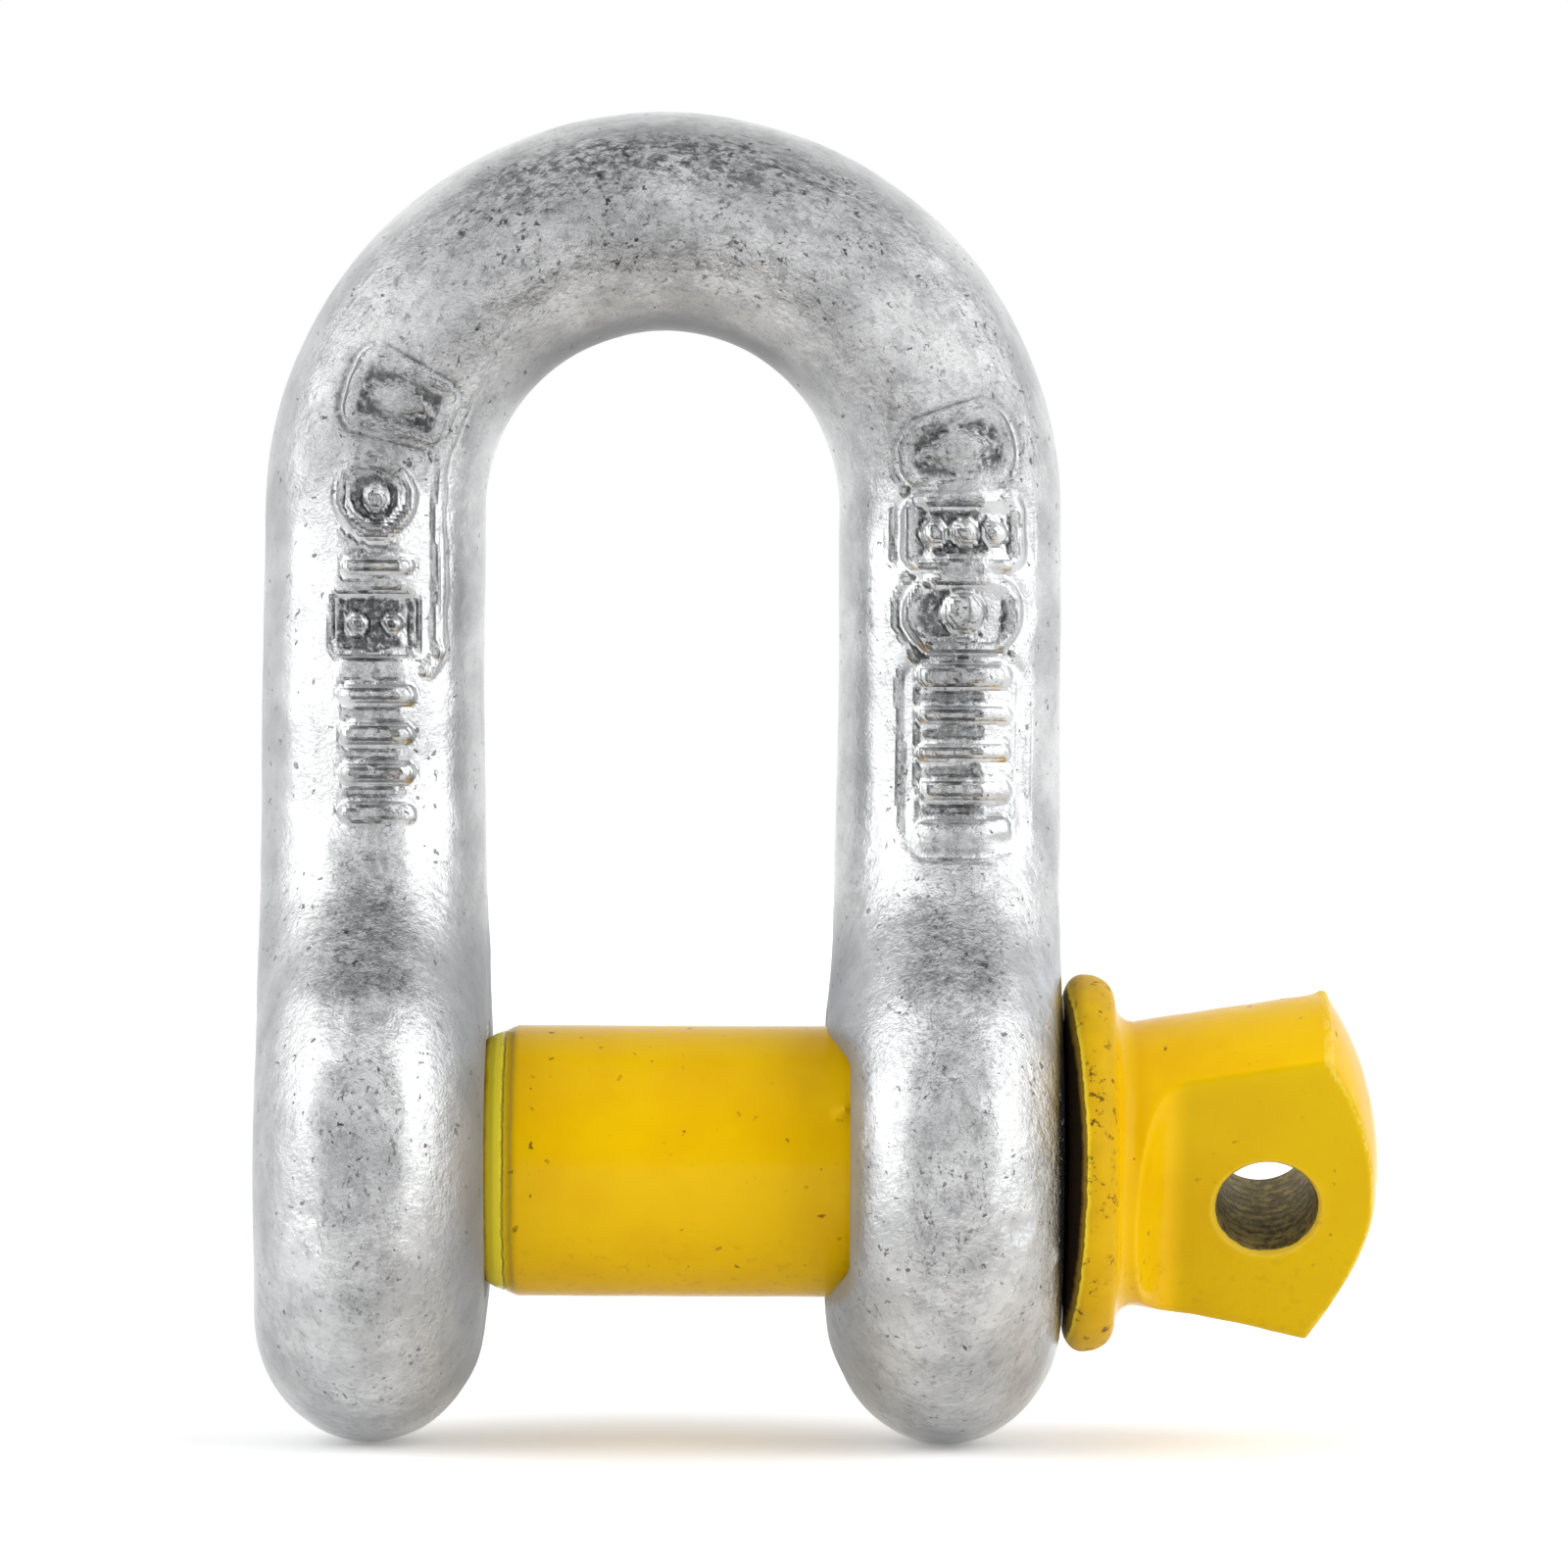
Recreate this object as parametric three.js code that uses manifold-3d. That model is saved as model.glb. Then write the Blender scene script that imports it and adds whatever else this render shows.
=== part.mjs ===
// Screw pin dee shackle, 13 mm stock with a 16 mm pin, in millimetres.
// The origin is on the pin axis, midway between the two legs. +X runs along the pin
// to its head, +Z runs up to the crown of the bow, and -Y is the front.

import * as THREE from 'three';
import { mergeVertices } from 'three/addons/utils/BufferGeometryUtils.js';
import Module from 'manifold-3d';

const wasm = await Module();
wasm.setup();

// ---- driving dimensions ----

const STOCK_R = 6.5; // half of the 13 mm round bar
const GAP_HALF = 10.5; // half of the 21 mm between the legs
const INSIDE_LENGTH = 41; // top of the pin to the inside of the crown

const EYE_R = 16.7; // outer radius of each eye
const EYE_FLAT_R = 10.2; // the eye's faces are flat out to here
const EYE_HALF = 6.7; // half of the eye's thickness
const PLAIN_EYE_X = 16.85; // middle plane of the head-side eye, a little inside its leg's
const TAPPED_EYE_X = -17.1; // and of the tapped eye, a little outside its leg's
const EYE_EDGE_POWER = 1.7; // how full the eye's rounded edge is
const SHOULDER_R = 12; // concave shoulder between eye and leg
const THICKEN_LOW_Z = 5; // the bar thickens from leg to eye between these heights
const THICKEN_HIGH_Z = 30;

const PIN_R = 8; // half of the 16 mm shank
const PLAIN_HOLE_R = 8.5; // clearance hole in the head-side eye
const HOLE_CHAMFER = 0.4;

const PITCH = 2;
const PIN_ROOT_R = 6.5;
const PIN_CREST_R = 7.3;
const EYE_THREAD_CREST_R = 7.6; // thread in the eye, drawn clear of the pin's
const EYE_THREAD_ROOT_R = 8.3;

const SEAT_GAP = 0.3; // collar to eye
const TIP_RECESS = 0.4; // tip of the thread, inside the tapped eye's outer face
const THREAD_RECESS = 0.5; // and the thread's other end, inside its inner face
const TAPER_LENGTH = 2; // shank down to the thread, at the tapped eye
const TAPER_END_R = 7.15;

const COLLAR_R = 11.15;
const COLLAR_THICK = 2.9;
const NECK_R = 8.4;
const NECK_FILLET = 1.2;
const HEAD_R = 10.2; // radius where the flared head meets its domed end
const HEAD_EDGE_X = 38.9; // place of that edge along the pin
const HEAD_TIP_X = 42.3;
const TONGUE_HALF = 4.3; // half of the thickness between the two flats
const RUNOUT_START_X = 27.5; // where the flats run out into the round neck
const RUNOUT_END_X = 31;
const WIRE_HOLE_R = 2.95;
const WIRE_HOLE_X = 35.6;
const WIRE_HOLE_DROP = 0.5; // the hole sits this far below the head's middle
const HEAD_TURN = THREE.MathUtils.degToRad(28); // how far the tight pin is turned

// ---- sizes that follow ----

const LEG_X = GAP_HALF + STOCK_R;
const BOW_Z = INSIDE_LENGTH + PIN_R - GAP_HALF; // centre of the half-round bow
const TAPPED_OUTER_X = TAPPED_EYE_X - EYE_HALF; // the tapped eye's two faces
const TAPPED_INNER_X = TAPPED_EYE_X + EYE_HALF;
const SHOULDER_Y = STOCK_R + SHOULDER_R; // centre of the shoulder's arc
const SHOULDER_Z = Math.sqrt((EYE_R + SHOULDER_R) ** 2 - SHOULDER_Y ** 2);

// ---- resolution ----

const RING_POINTS = 36;
const EYE_RINGS = 10;
const SHOULDER_RINGS = 9;
const LEG_RINGS = 3;
const BOW_RINGS = 28;
const ROUND_SEGMENTS = 44;
const THREAD_SEGMENTS = 20;
const WIRE_HOLE_SEGMENTS = 24;

const zinc = new THREE.MeshStandardMaterial({
  color: 0xb9bcbe,
  roughness: 0.45,
  metalness: 0.9,
});
const yellowPaint = new THREE.MeshStandardMaterial({
  color: 0xf0c30a,
  roughness: 0.3,
  metalness: 0,
});

// ---- meshes and solids ----

// Makes a geometry's shared vertices one, and drops triangles that have no area.
function asSolid(geometry) {
  geometry.deleteAttribute('normal');
  geometry.deleteAttribute('uv');
  const merged = mergeVertices(geometry, 1e-5);
  const index = merged.index.array;
  const kept = [];
  for (let i = 0; i < index.length; i += 3) {
    const [a, b, c] = [index[i], index[i + 1], index[i + 2]];
    if (a !== b && b !== c && c !== a) kept.push(a, b, c);
  }
  return new wasm.Manifold(new wasm.Mesh({
    numProp: 3,
    vertProperties: new Float32Array(merged.attributes.position.array),
    triVerts: new Uint32Array(kept),
  }));
}

function asMesh(name, solid, material) {
  const { vertProperties, triVerts } = solid.getMesh();
  const geometry = new THREE.BufferGeometry();
  geometry.setAttribute('position', new THREE.BufferAttribute(vertProperties, 3));
  geometry.setIndex(new THREE.BufferAttribute(triVerts, 1));
  geometry.computeVertexNormals();
  const mesh = new THREE.Mesh(geometry, material);
  mesh.name = name;
  return mesh;
}

// A solid turned about the X axis. The outline is [x, radius] from low x to high x.
function turned(outline) {
  const points = outline.map(([x, r]) => new THREE.Vector2(r, x));
  const geometry = new THREE.LatheGeometry(points, ROUND_SEGMENTS);
  geometry.rotateZ(-Math.PI / 2);
  return asSolid(geometry);
}

// Points of a circular arc for an outline, from one angle to another in degrees.
function arc(centreX, centreR, radius, from, to, steps) {
  const points = [];
  for (let i = 0; i <= steps; i++) {
    const angle = THREE.MathUtils.degToRad(from + ((to - from) * i) / steps);
    points.push([centreX + radius * Math.cos(angle), centreR + radius * Math.sin(angle)]);
  }
  return points;
}

// ---- forged body: eye, leg, bow, leg, eye in one bar ----

// Half of the bar's width from front to back, at a height above the pin axis.
function halfWidth(z) {
  if (z >= SHOULDER_Z) return STOCK_R;
  const tangentZ = (SHOULDER_Z * EYE_R) / (EYE_R + SHOULDER_R);
  if (z <= tangentZ) return Math.sqrt(Math.max(0, EYE_R ** 2 - z ** 2));
  return SHOULDER_Y - Math.sqrt(SHOULDER_R ** 2 - (SHOULDER_Z - z) ** 2);
}

// How far a point of the side view lies inside the side outline.
function depthInside(y, z) {
  const side = Math.abs(y);
  if (z >= SHOULDER_Z) return STOCK_R - side;
  if (z <= 0 || side / z > SHOULDER_Y / SHOULDER_Z) return EYE_R - Math.hypot(side, z);
  return Math.hypot(side - SHOULDER_Y, z - SHOULDER_Z) - SHOULDER_R;
}

// How much of the eye's thickness the bar still has, from 1 at the eye to 0 up the leg.
function eyeShare(z) {
  return 1 - THREE.MathUtils.smoothstep(z, THICKEN_LOW_Z, THICKEN_HIGH_Z);
}

// Half of the bar's thickness along X: the edge is rounded and the middle is flat,
// and towards the leg the section becomes a plain circle.
function halfThickness(y, z) {
  const roundShare = THREE.MathUtils.smoothstep(z, THICKEN_LOW_Z, SHOULDER_Z);
  const edge = THREE.MathUtils.lerp(EYE_R - EYE_FLAT_R, STOCK_R, roundShare);
  const power = THREE.MathUtils.lerp(EYE_EDGE_POWER, 2, roundShare);
  const middle = THREE.MathUtils.lerp(STOCK_R, EYE_HALF, eyeShare(z));
  const outOfFlat = THREE.MathUtils.clamp(1 - depthInside(y, z) / edge, 0, 1);
  return middle * Math.sqrt(1 - outOfFlat ** power);
}

// Stations up one leg, from just above the eye's lowest point to the start of the bow.
function legHeights() {
  const heights = [];
  for (let i = 1; i <= EYE_RINGS; i++) {
    heights.push(-EYE_R * Math.cos((i / EYE_RINGS) * (Math.PI / 2)));
  }
  for (let i = 1; i <= SHOULDER_RINGS; i++) {
    heights.push((SHOULDER_Z * i) / SHOULDER_RINGS);
  }
  for (let i = 1; i <= LEG_RINGS; i++) {
    heights.push(THREE.MathUtils.lerp(SHOULDER_Z, BOW_Z, i / LEG_RINGS));
  }
  return heights;
}

// One ring of the bar. Outward is the direction away from the inside of the shackle.
function ring(centre, outward, z) {
  const points = [];
  for (let i = 0; i < RING_POINTS; i++) {
    const angle = (2 * Math.PI * i) / RING_POINTS;
    const y = halfWidth(z) * Math.sin(angle);
    const reach = Math.sign(Math.cos(angle)) * halfThickness(y, z);
    points.push(centre.clone().addScaledVector(outward, reach).setY(y));
  }
  return points;
}

// A ring of the leg on one side: -1 for the left leg and 1 for the right.
function legRing(side, z) {
  const eyeX = side < 0 ? TAPPED_EYE_X : PLAIN_EYE_X;
  const x = THREE.MathUtils.lerp(side * LEG_X, eyeX, eyeShare(z));
  return ring(new THREE.Vector3(x, 0, z), new THREE.Vector3(side, 0, 0), z);
}

function bodyRings() {
  const left = legHeights().map((z) => legRing(-1, z));
  const right = legHeights().reverse().map((z) => legRing(1, z));
  const bow = [];
  for (let i = 1; i < BOW_RINGS; i++) {
    const angle = Math.PI * (1 - i / BOW_RINGS);
    const outward = new THREE.Vector3(Math.cos(angle), 0, Math.sin(angle));
    const centre = outward.clone().multiplyScalar(LEG_X).add(new THREE.Vector3(0, 0, BOW_Z));
    bow.push(ring(centre, outward, BOW_Z));
  }
  return [...left, ...bow, ...right];
}

// Skins a row of rings, and closes each end to a single point.
function skin(rings, firstPoint, lastPoint) {
  const count = rings[0].length;
  const vertices = [...rings.flat(), firstPoint, lastPoint];
  const first = vertices.length - 2;
  const last = vertices.length - 1;
  const index = [];
  for (let i = 0; i < count; i++) {
    const next = (i + 1) % count;
    index.push(first, i, next);
    for (let k = 0; k + 1 < rings.length; k++) {
      const [a, b] = [k * count + i, k * count + next];
      index.push(a, a + count, b, b, a + count, b + count);
    }
    const end = (rings.length - 1) * count;
    index.push(end + i, last, end + next);
  }
  return new THREE.BufferGeometry().setFromPoints(vertices).setIndex(index);
}

// ---- screw thread ----

// Where each edge of the thread lies within one pitch, and whether it is on the crest.
const THREAD_EDGES = [
  [0, false],
  [0.25, true],
  [0.45, true],
  [0.7, false],
];

// A bar with a helical thread, longer than the stretch asked for by a turn at each end.
function threadedBar(rootR, crestR, fromX, toX) {
  const turns = Math.ceil((toX - fromX) / PITCH) + 2;
  const rows = [];
  for (let turn = 0; turn < turns; turn++) {
    for (const [share, onCrest] of THREAD_EDGES) {
      rows.push([fromX + PITCH * (turn + share - 1), onCrest ? crestR : rootR]);
    }
  }
  const vertices = [];
  for (const [x, r] of rows) {
    for (let j = 0; j < THREAD_SEGMENTS; j++) {
      const around = j / THREAD_SEGMENTS;
      const angle = 2 * Math.PI * around;
      vertices.push(new THREE.Vector3(
        x + PITCH * around,
        r * Math.cos(angle),
        r * Math.sin(angle),
      ));
    }
  }
  // the last column joins the first one a whole pitch further on
  const at = (row, j) => (j < THREAD_SEGMENTS
    ? row * THREAD_SEGMENTS + j
    : (row + THREAD_EDGES.length) * THREAD_SEGMENTS);
  const lastRow = rows.length - 1 - THREAD_EDGES.length;
  const index = [];
  for (let row = 0; row < lastRow; row++) {
    for (let j = 0; j < THREAD_SEGMENTS; j++) {
      const [a, b, c, d] = [at(row, j), at(row + 1, j), at(row, j + 1), at(row + 1, j + 1)];
      index.push(a, c, b, b, c, d);
    }
  }
  const rim = (row) => {
    const loop = [];
    for (let j = 0; j < THREAD_SEGMENTS; j++) loop.push(at(row, j));
    for (let step = THREAD_EDGES.length; step > 0; step--) loop.push(at(row + step, 0));
    return loop;
  };
  const capTo = (loop, x, facing) => {
    const middle = vertices.push(new THREE.Vector3(x, 0, 0)) - 1;
    loop.forEach((a, i) => {
      const b = loop[(i + 1) % loop.length];
      if (facing > 0) index.push(middle, a, b);
      else index.push(middle, b, a);
    });
  };
  capTo(rim(0), rows[0][0], -1);
  capTo(rim(lastRow), rows[lastRow][0] + PITCH, 1);
  return asSolid(new THREE.BufferGeometry().setFromPoints(vertices).setIndex(index));
}

// A straight hole's cutter along X, with a chamfer at both of the eye's faces.
function holeCutter(centreX, radius, mouthR) {
  const past = 3; // how far the cutter reaches beyond each face
  const low = centreX - EYE_HALF;
  const high = centreX + EYE_HALF;
  const chamfer = mouthR - radius;
  return turned([
    [low - past, 0],
    [low - past, mouthR],
    [low, mouthR],
    [low + chamfer, radius],
    [high - chamfer, radius],
    [high, mouthR],
    [high + past, mouthR],
    [high + past, 0],
  ]);
}

function makeBody() {
  const lowLeft = new THREE.Vector3(TAPPED_EYE_X, 0, -EYE_R);
  const lowRight = new THREE.Vector3(PLAIN_EYE_X, 0, -EYE_R);
  const bar = asSolid(skin(bodyRings(), lowLeft, lowRight));
  const plainHole = holeCutter(PLAIN_EYE_X, PLAIN_HOLE_R, PLAIN_HOLE_R + HOLE_CHAMFER);
  const tapDrill = holeCutter(
    TAPPED_EYE_X, EYE_THREAD_CREST_R, EYE_THREAD_ROOT_R + HOLE_CHAMFER / 2,
  );
  const tap = threadedBar(
    EYE_THREAD_CREST_R, EYE_THREAD_ROOT_R, TAPPED_OUTER_X - PITCH, TAPPED_INNER_X,
  );
  return asMesh('shackle_body', bar.subtract(plainHole).subtract(tapDrill).subtract(tap), zinc);
}

// ---- screw pin: thread, shank, collar and flattened head in one forging ----

function makePin() {
  const tipX = TAPPED_OUTER_X + TIP_RECESS;
  const threadEndX = TAPPED_INNER_X - THREAD_RECESS;
  const threadDepth = PIN_CREST_R - PIN_ROOT_R;
  const threadBlank = turned([
    [tipX, 0],
    [tipX, PIN_ROOT_R - 0.3],
    [tipX + threadDepth, PIN_CREST_R],
    [threadEndX - threadDepth, PIN_CREST_R],
    [threadEndX, PIN_ROOT_R],
    [threadEndX, 0],
  ]);
  const thread = threadedBar(PIN_ROOT_R, PIN_CREST_R + 0.1, tipX, threadEndX);

  const collarX = PLAIN_EYE_X + EYE_HALF + SEAT_GAP;
  const rimR = COLLAR_THICK / 2;
  const neckX = collarX + COLLAR_THICK;
  const domeRise = HEAD_TIP_X - HEAD_EDGE_X;
  const domeR = (HEAD_R ** 2 + domeRise ** 2) / (2 * domeRise);
  const domeAngle = THREE.MathUtils.radToDeg(Math.asin(HEAD_R / domeR));
  const round = turned([
    [threadEndX - 1, 0],
    [threadEndX - 1, PIN_ROOT_R - 0.2],
    [threadEndX + 0.1, PIN_ROOT_R - 0.2],
    [TAPPED_INNER_X, TAPER_END_R],
    [TAPPED_INNER_X + TAPER_LENGTH, PIN_R],
    [collarX - HOLE_CHAMFER, PIN_R],
    [collarX, PIN_R + HOLE_CHAMFER],
    ...arc(collarX + rimR, COLLAR_R - rimR, rimR, 180, 0, 6),
    ...arc(neckX + NECK_FILLET, NECK_R + NECK_FILLET, NECK_FILLET, 180, 270, 4),
    ...arc(HEAD_TIP_X - domeR, 0, domeR, domeAngle, 0, 6),
  ]);

  const beyond = 15; // clear of the head on every side
  const profile = new THREE.Shape();
  profile.moveTo(threadEndX - beyond, -beyond);
  profile.lineTo(RUNOUT_START_X, -beyond);
  profile.lineTo(RUNOUT_START_X, -HEAD_R);
  profile.quadraticCurveTo(RUNOUT_START_X + 1, -TONGUE_HALF, RUNOUT_END_X, -TONGUE_HALF);
  profile.lineTo(HEAD_TIP_X + beyond, -TONGUE_HALF);
  profile.lineTo(HEAD_TIP_X + beyond, TONGUE_HALF);
  profile.lineTo(RUNOUT_END_X, TONGUE_HALF);
  profile.quadraticCurveTo(RUNOUT_START_X + 1, TONGUE_HALF, RUNOUT_START_X, HEAD_R);
  profile.lineTo(RUNOUT_START_X, beyond);
  profile.lineTo(threadEndX - beyond, beyond);
  const flats = new THREE.ExtrudeGeometry(profile, {
    depth: 2 * beyond,
    bevelEnabled: false,
    curveSegments: 6,
  });
  flats.translate(0, 0, -beyond);

  const wireHole = new THREE.CylinderGeometry(
    WIRE_HOLE_R, WIRE_HOLE_R, 2 * beyond, WIRE_HOLE_SEGMENTS,
  );
  wireHole.translate(WIRE_HOLE_X, 0, -WIRE_HOLE_DROP);

  const head = round.intersect(asSolid(flats)).subtract(asSolid(wireHole));
  const pin = asMesh('screw_pin', head.add(thread.intersect(threadBlank)), yellowPaint);
  pin.rotation.x = HEAD_TURN;
  return pin;
}

const shackle = new THREE.Group();
shackle.add(makeBody(), makePin());

export default shackle;
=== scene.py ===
"""Looks of a galvanised dee shackle with a yellow painted screw pin.

Lengths in this script are in millimetres, and MM turns them into Blender's metres.
"""

import math

import bmesh
import bpy
import numpy as np
from mathutils import Matrix, Vector, noise


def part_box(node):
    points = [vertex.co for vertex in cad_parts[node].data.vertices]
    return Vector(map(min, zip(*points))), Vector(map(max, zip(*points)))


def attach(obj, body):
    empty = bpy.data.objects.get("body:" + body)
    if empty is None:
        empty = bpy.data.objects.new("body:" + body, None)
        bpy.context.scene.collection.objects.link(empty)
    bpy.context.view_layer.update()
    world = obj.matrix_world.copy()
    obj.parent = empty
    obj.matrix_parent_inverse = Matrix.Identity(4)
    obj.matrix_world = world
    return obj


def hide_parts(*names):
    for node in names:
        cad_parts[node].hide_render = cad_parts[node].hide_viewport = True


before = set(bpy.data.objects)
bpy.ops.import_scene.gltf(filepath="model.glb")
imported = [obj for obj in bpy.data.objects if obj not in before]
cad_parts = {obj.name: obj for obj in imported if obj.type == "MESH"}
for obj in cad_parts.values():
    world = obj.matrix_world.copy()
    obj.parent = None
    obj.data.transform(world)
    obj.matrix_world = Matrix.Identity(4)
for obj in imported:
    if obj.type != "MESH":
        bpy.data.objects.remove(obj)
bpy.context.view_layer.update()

MM = 0.001

# ---- sizes shared with the CAD model, in its frame ----

BODY_LOW, BODY_HIGH = (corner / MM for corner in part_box("shackle_body"))
PIN_LOW, PIN_HIGH = (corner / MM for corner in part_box("screw_pin"))

STOCK_R = 6.5
GAP_HALF = 10.5
EYE_R = BODY_HIGH.y
EYE_FLAT_R = 10.2
EYE_HALF = 6.7
EYE_EDGE_POWER = 1.7
SHOULDER_R = 12
THICKEN_LOW_Z = 5
THICKEN_HIGH_Z = 30
LEG_X = GAP_HALF + STOCK_R
BOW_Z = BODY_HIGH.z - LEG_X - STOCK_R
TAPPED_OUTER_X = BODY_LOW.x
TAPPED_EYE_X = TAPPED_OUTER_X + EYE_HALF
TAPPED_INNER_X = TAPPED_EYE_X + EYE_HALF
PLAIN_EYE_X = 16.85
PLAIN_OUTER_X = PLAIN_EYE_X + EYE_HALF
SHOULDER_Y = STOCK_R + SHOULDER_R
SHOULDER_Z = math.sqrt((EYE_R + SHOULDER_R) ** 2 - SHOULDER_Y**2)

PIN_R = 8
PLAIN_HOLE_R = 8.5
PITCH = 2
PIN_ROOT_R = 6.5
PIN_CREST_R = 7.3
EYE_THREAD_CREST_R = 7.6
EYE_THREAD_ROOT_R = 8.3
TAPER_END_X = TAPPED_INNER_X + 2
TAPER_END_R = 7.15
COLLAR_R = 11.15
COLLAR_THICK = 3.0
COLLAR_CREST = 1.15
COLLAR_FULLNESS = 0.92
COLLAR_X = PLAIN_OUTER_X + 0.15
NECK_R = 8.4
NECK_FILLET = 1.2
HEAD_R = 10.2
HEAD_EDGE_X = 38.9
TONGUE_HALF = 4.3
RUNOUT_START_X = 27.5
RUNOUT_END_X = 31
WIRE_HOLE_R = 2.95
WIRE_HOLE_X = 35.6
WIRE_HOLE_DROP = 0.5
HEAD_TURN = math.radians(28)


# ---- small helpers ----

SHARP_ANGLE = math.radians(40)
# how far the noise is moved for each step of a seed
SEED_SHIFT = (17.3, 5.1, 29.7)
CUTTER_COLUMNS = 96
# shares of one thread's pitch: up from the root, level on the crest, and down again
THREAD_RISE = (0, 0.27)
THREAD_FALL = (0.45, 0.72)
THREAD_ROUNDING = 0.2


def smooth(x, low, high):
    """0 below low, 1 above high, and an eased ramp between."""
    t = np.clip((np.asarray(x, float) - low) / (high - low), 0, 1)
    return t * t * (3 - 2 * t)


def below(x, low, high):
    """1 below low, 0 above high, and an eased ramp between."""
    return 1 - smooth(x, low, high)


def zone(x, low, full, until, high):
    """0 outside low and high, 1 from full to until, and eased ramps between."""
    return smooth(x, low, full) * below(x, until, high)


def mix(a, b, share):
    """A number from a to b."""
    return a + (b - a) * share


def soft_min(a, b, reach):
    """The lesser of two lengths, rounded off where they are within reach of each other."""
    near = np.maximum(reach - np.abs(a - b), 0) / reach
    return np.minimum(a, b) - near * near * reach / 4


def lumps(points, size, seed):
    """Smooth random heights from about -1 to 1 over points, with lumps about size across."""
    shift = Vector(SEED_SHIFT) * seed
    flat = points.reshape(-1, 3) / size
    values = [noise.noise(Vector(p) + shift) for p in flat.tolist()]
    return np.array(values).reshape(points.shape[:-1])


def grid_normals(grid):
    """Outward unit normals of a grid of points that closes on itself along its second axis."""
    along = np.gradient(grid, axis=0)
    around = np.roll(grid, -1, axis=1) - np.roll(grid, 1, axis=1)
    normals = np.cross(around, along)
    size = np.linalg.norm(normals, axis=-1, keepdims=True)
    outward = grid - grid.mean(axis=1, keepdims=True)
    sign = math.copysign(1, (normals * outward).sum())
    return sign * normals / np.maximum(size, 1e-12)


def new_object(name, data):
    """A new object, put in the scene."""
    made = bpy.data.objects.new(name, data)
    bpy.context.scene.collection.objects.link(made)
    return made


def grid_object(name, grid, first_point, last_point):
    """A closed mesh object from rings of points in millimetres, shut at each end by a point."""
    rows, columns = grid.shape[:2]
    points = np.vstack([grid.reshape(-1, 3), first_point, last_point]) * MM
    first, last = rows * columns, rows * columns + 1
    index = np.arange(rows * columns).reshape(rows, columns)
    turned = np.roll(index, -1, axis=1)
    quads = np.stack([index[:-1], index[1:], turned[1:], turned[:-1]], -1).reshape(-1, 4)
    faces = quads.tolist()
    faces += [(first, int(a), int(b)) for a, b in zip(index[0], turned[0])]
    faces += [(last, int(b), int(a)) for a, b in zip(index[-1], turned[-1])]
    mesh = bpy.data.meshes.new(name)
    mesh.from_pydata(points.tolist(), [], faces)
    shell = bmesh.new()
    shell.from_mesh(mesh)
    bmesh.ops.recalc_face_normals(shell, faces=shell.faces)
    shell.to_mesh(mesh)
    shell.free()
    return new_object(name, mesh)


def turned_cutter(name, xs, radii, columns=CUTTER_COLUMNS):
    """A closed solid about the X axis. radii is one per x, or one per x and column."""
    angle = np.linspace(0, 2 * math.pi, columns, endpoint=False)
    xs = np.asarray(xs, float)[:, None] * np.ones(columns)
    radii = np.asarray(radii, float)
    radii = radii[:, None] * np.ones(columns) if radii.ndim == 1 else radii
    grid = np.stack([xs, radii * np.cos(angle), radii * np.sin(angle)], -1)
    return grid_object(name, grid, (xs[0, 0], 0, 0), (xs[-1, 0], 0, 0))


def cut(piece, cutter):
    """Takes cutter's solid out of piece, and deletes cutter."""
    hole = piece.modifiers.new("hole", "BOOLEAN")
    hole.operation = "DIFFERENCE"
    hole.solver = "EXACT"
    hole.object = cutter
    graph = bpy.context.evaluated_depsgraph_get()
    result = bpy.data.meshes.new_from_object(piece.evaluated_get(graph), depsgraph=graph)
    piece.modifiers.clear()
    old, piece.data = piece.data, result
    result.name = old.name
    bpy.data.meshes.remove(old)
    bpy.data.objects.remove(cutter)


def thread_height(x, angle):
    """Share of the thread's depth, 0 at the root and 1 at the crest, at a place on a bar."""
    share = (x / PITCH - angle / (2 * math.pi)) % 1
    return soft_min(smooth(share, *THREAD_RISE), below(share, *THREAD_FALL), THREAD_ROUNDING)


# ---- forged body ----


def half_width(z):
    """Half of the bar from front to back at a height above the pin's axis."""
    tangent_z = SHOULDER_Z * EYE_R / (EYE_R + SHOULDER_R)
    eye = np.sqrt(np.maximum(EYE_R**2 - z**2, 0))
    shoulder = SHOULDER_Y - np.sqrt(np.maximum(SHOULDER_R**2 - (SHOULDER_Z - z) ** 2, 0))
    return np.where(z <= tangent_z, eye, np.where(z < SHOULDER_Z, shoulder, STOCK_R))


def depth_inside(y, z):
    """How far a point of the side view is inside the side outline."""
    side = np.abs(y)
    in_eye = (z <= 0) | (side * SHOULDER_Z > z * SHOULDER_Y)
    eye = EYE_R - np.hypot(side, z)
    shoulder = np.hypot(side - SHOULDER_Y, z - SHOULDER_Z) - SHOULDER_R
    return np.where(z >= SHOULDER_Z, STOCK_R - side, np.where(in_eye, eye, shoulder))


def eye_share(z):
    """1 at the eye and 0 up the leg, where the bar is round."""
    return below(z, THICKEN_LOW_Z, THICKEN_HIGH_Z)


def half_thickness(y, z):
    """Half of the bar along X: flat in the middle of the eye, and a circle up the leg."""
    round_share = smooth(z, THICKEN_LOW_Z, SHOULDER_Z)
    edge = mix(EYE_R - EYE_FLAT_R, STOCK_R, round_share)
    power = mix(EYE_EDGE_POWER, 2, round_share)
    middle = mix(STOCK_R, EYE_HALF, eye_share(z))
    out_of_flat = np.clip(1 - depth_inside(y, z) / edge, 0, 1)
    return middle * np.sqrt(1 - out_of_flat**power)


LEG_STEP = 0.22
EYE_STEP = 0.4
BOW_STEP = 0.32
FRONT_POINTS = 124
BACK_POINTS = 50
MARKS_LOW_Z = 17


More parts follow.
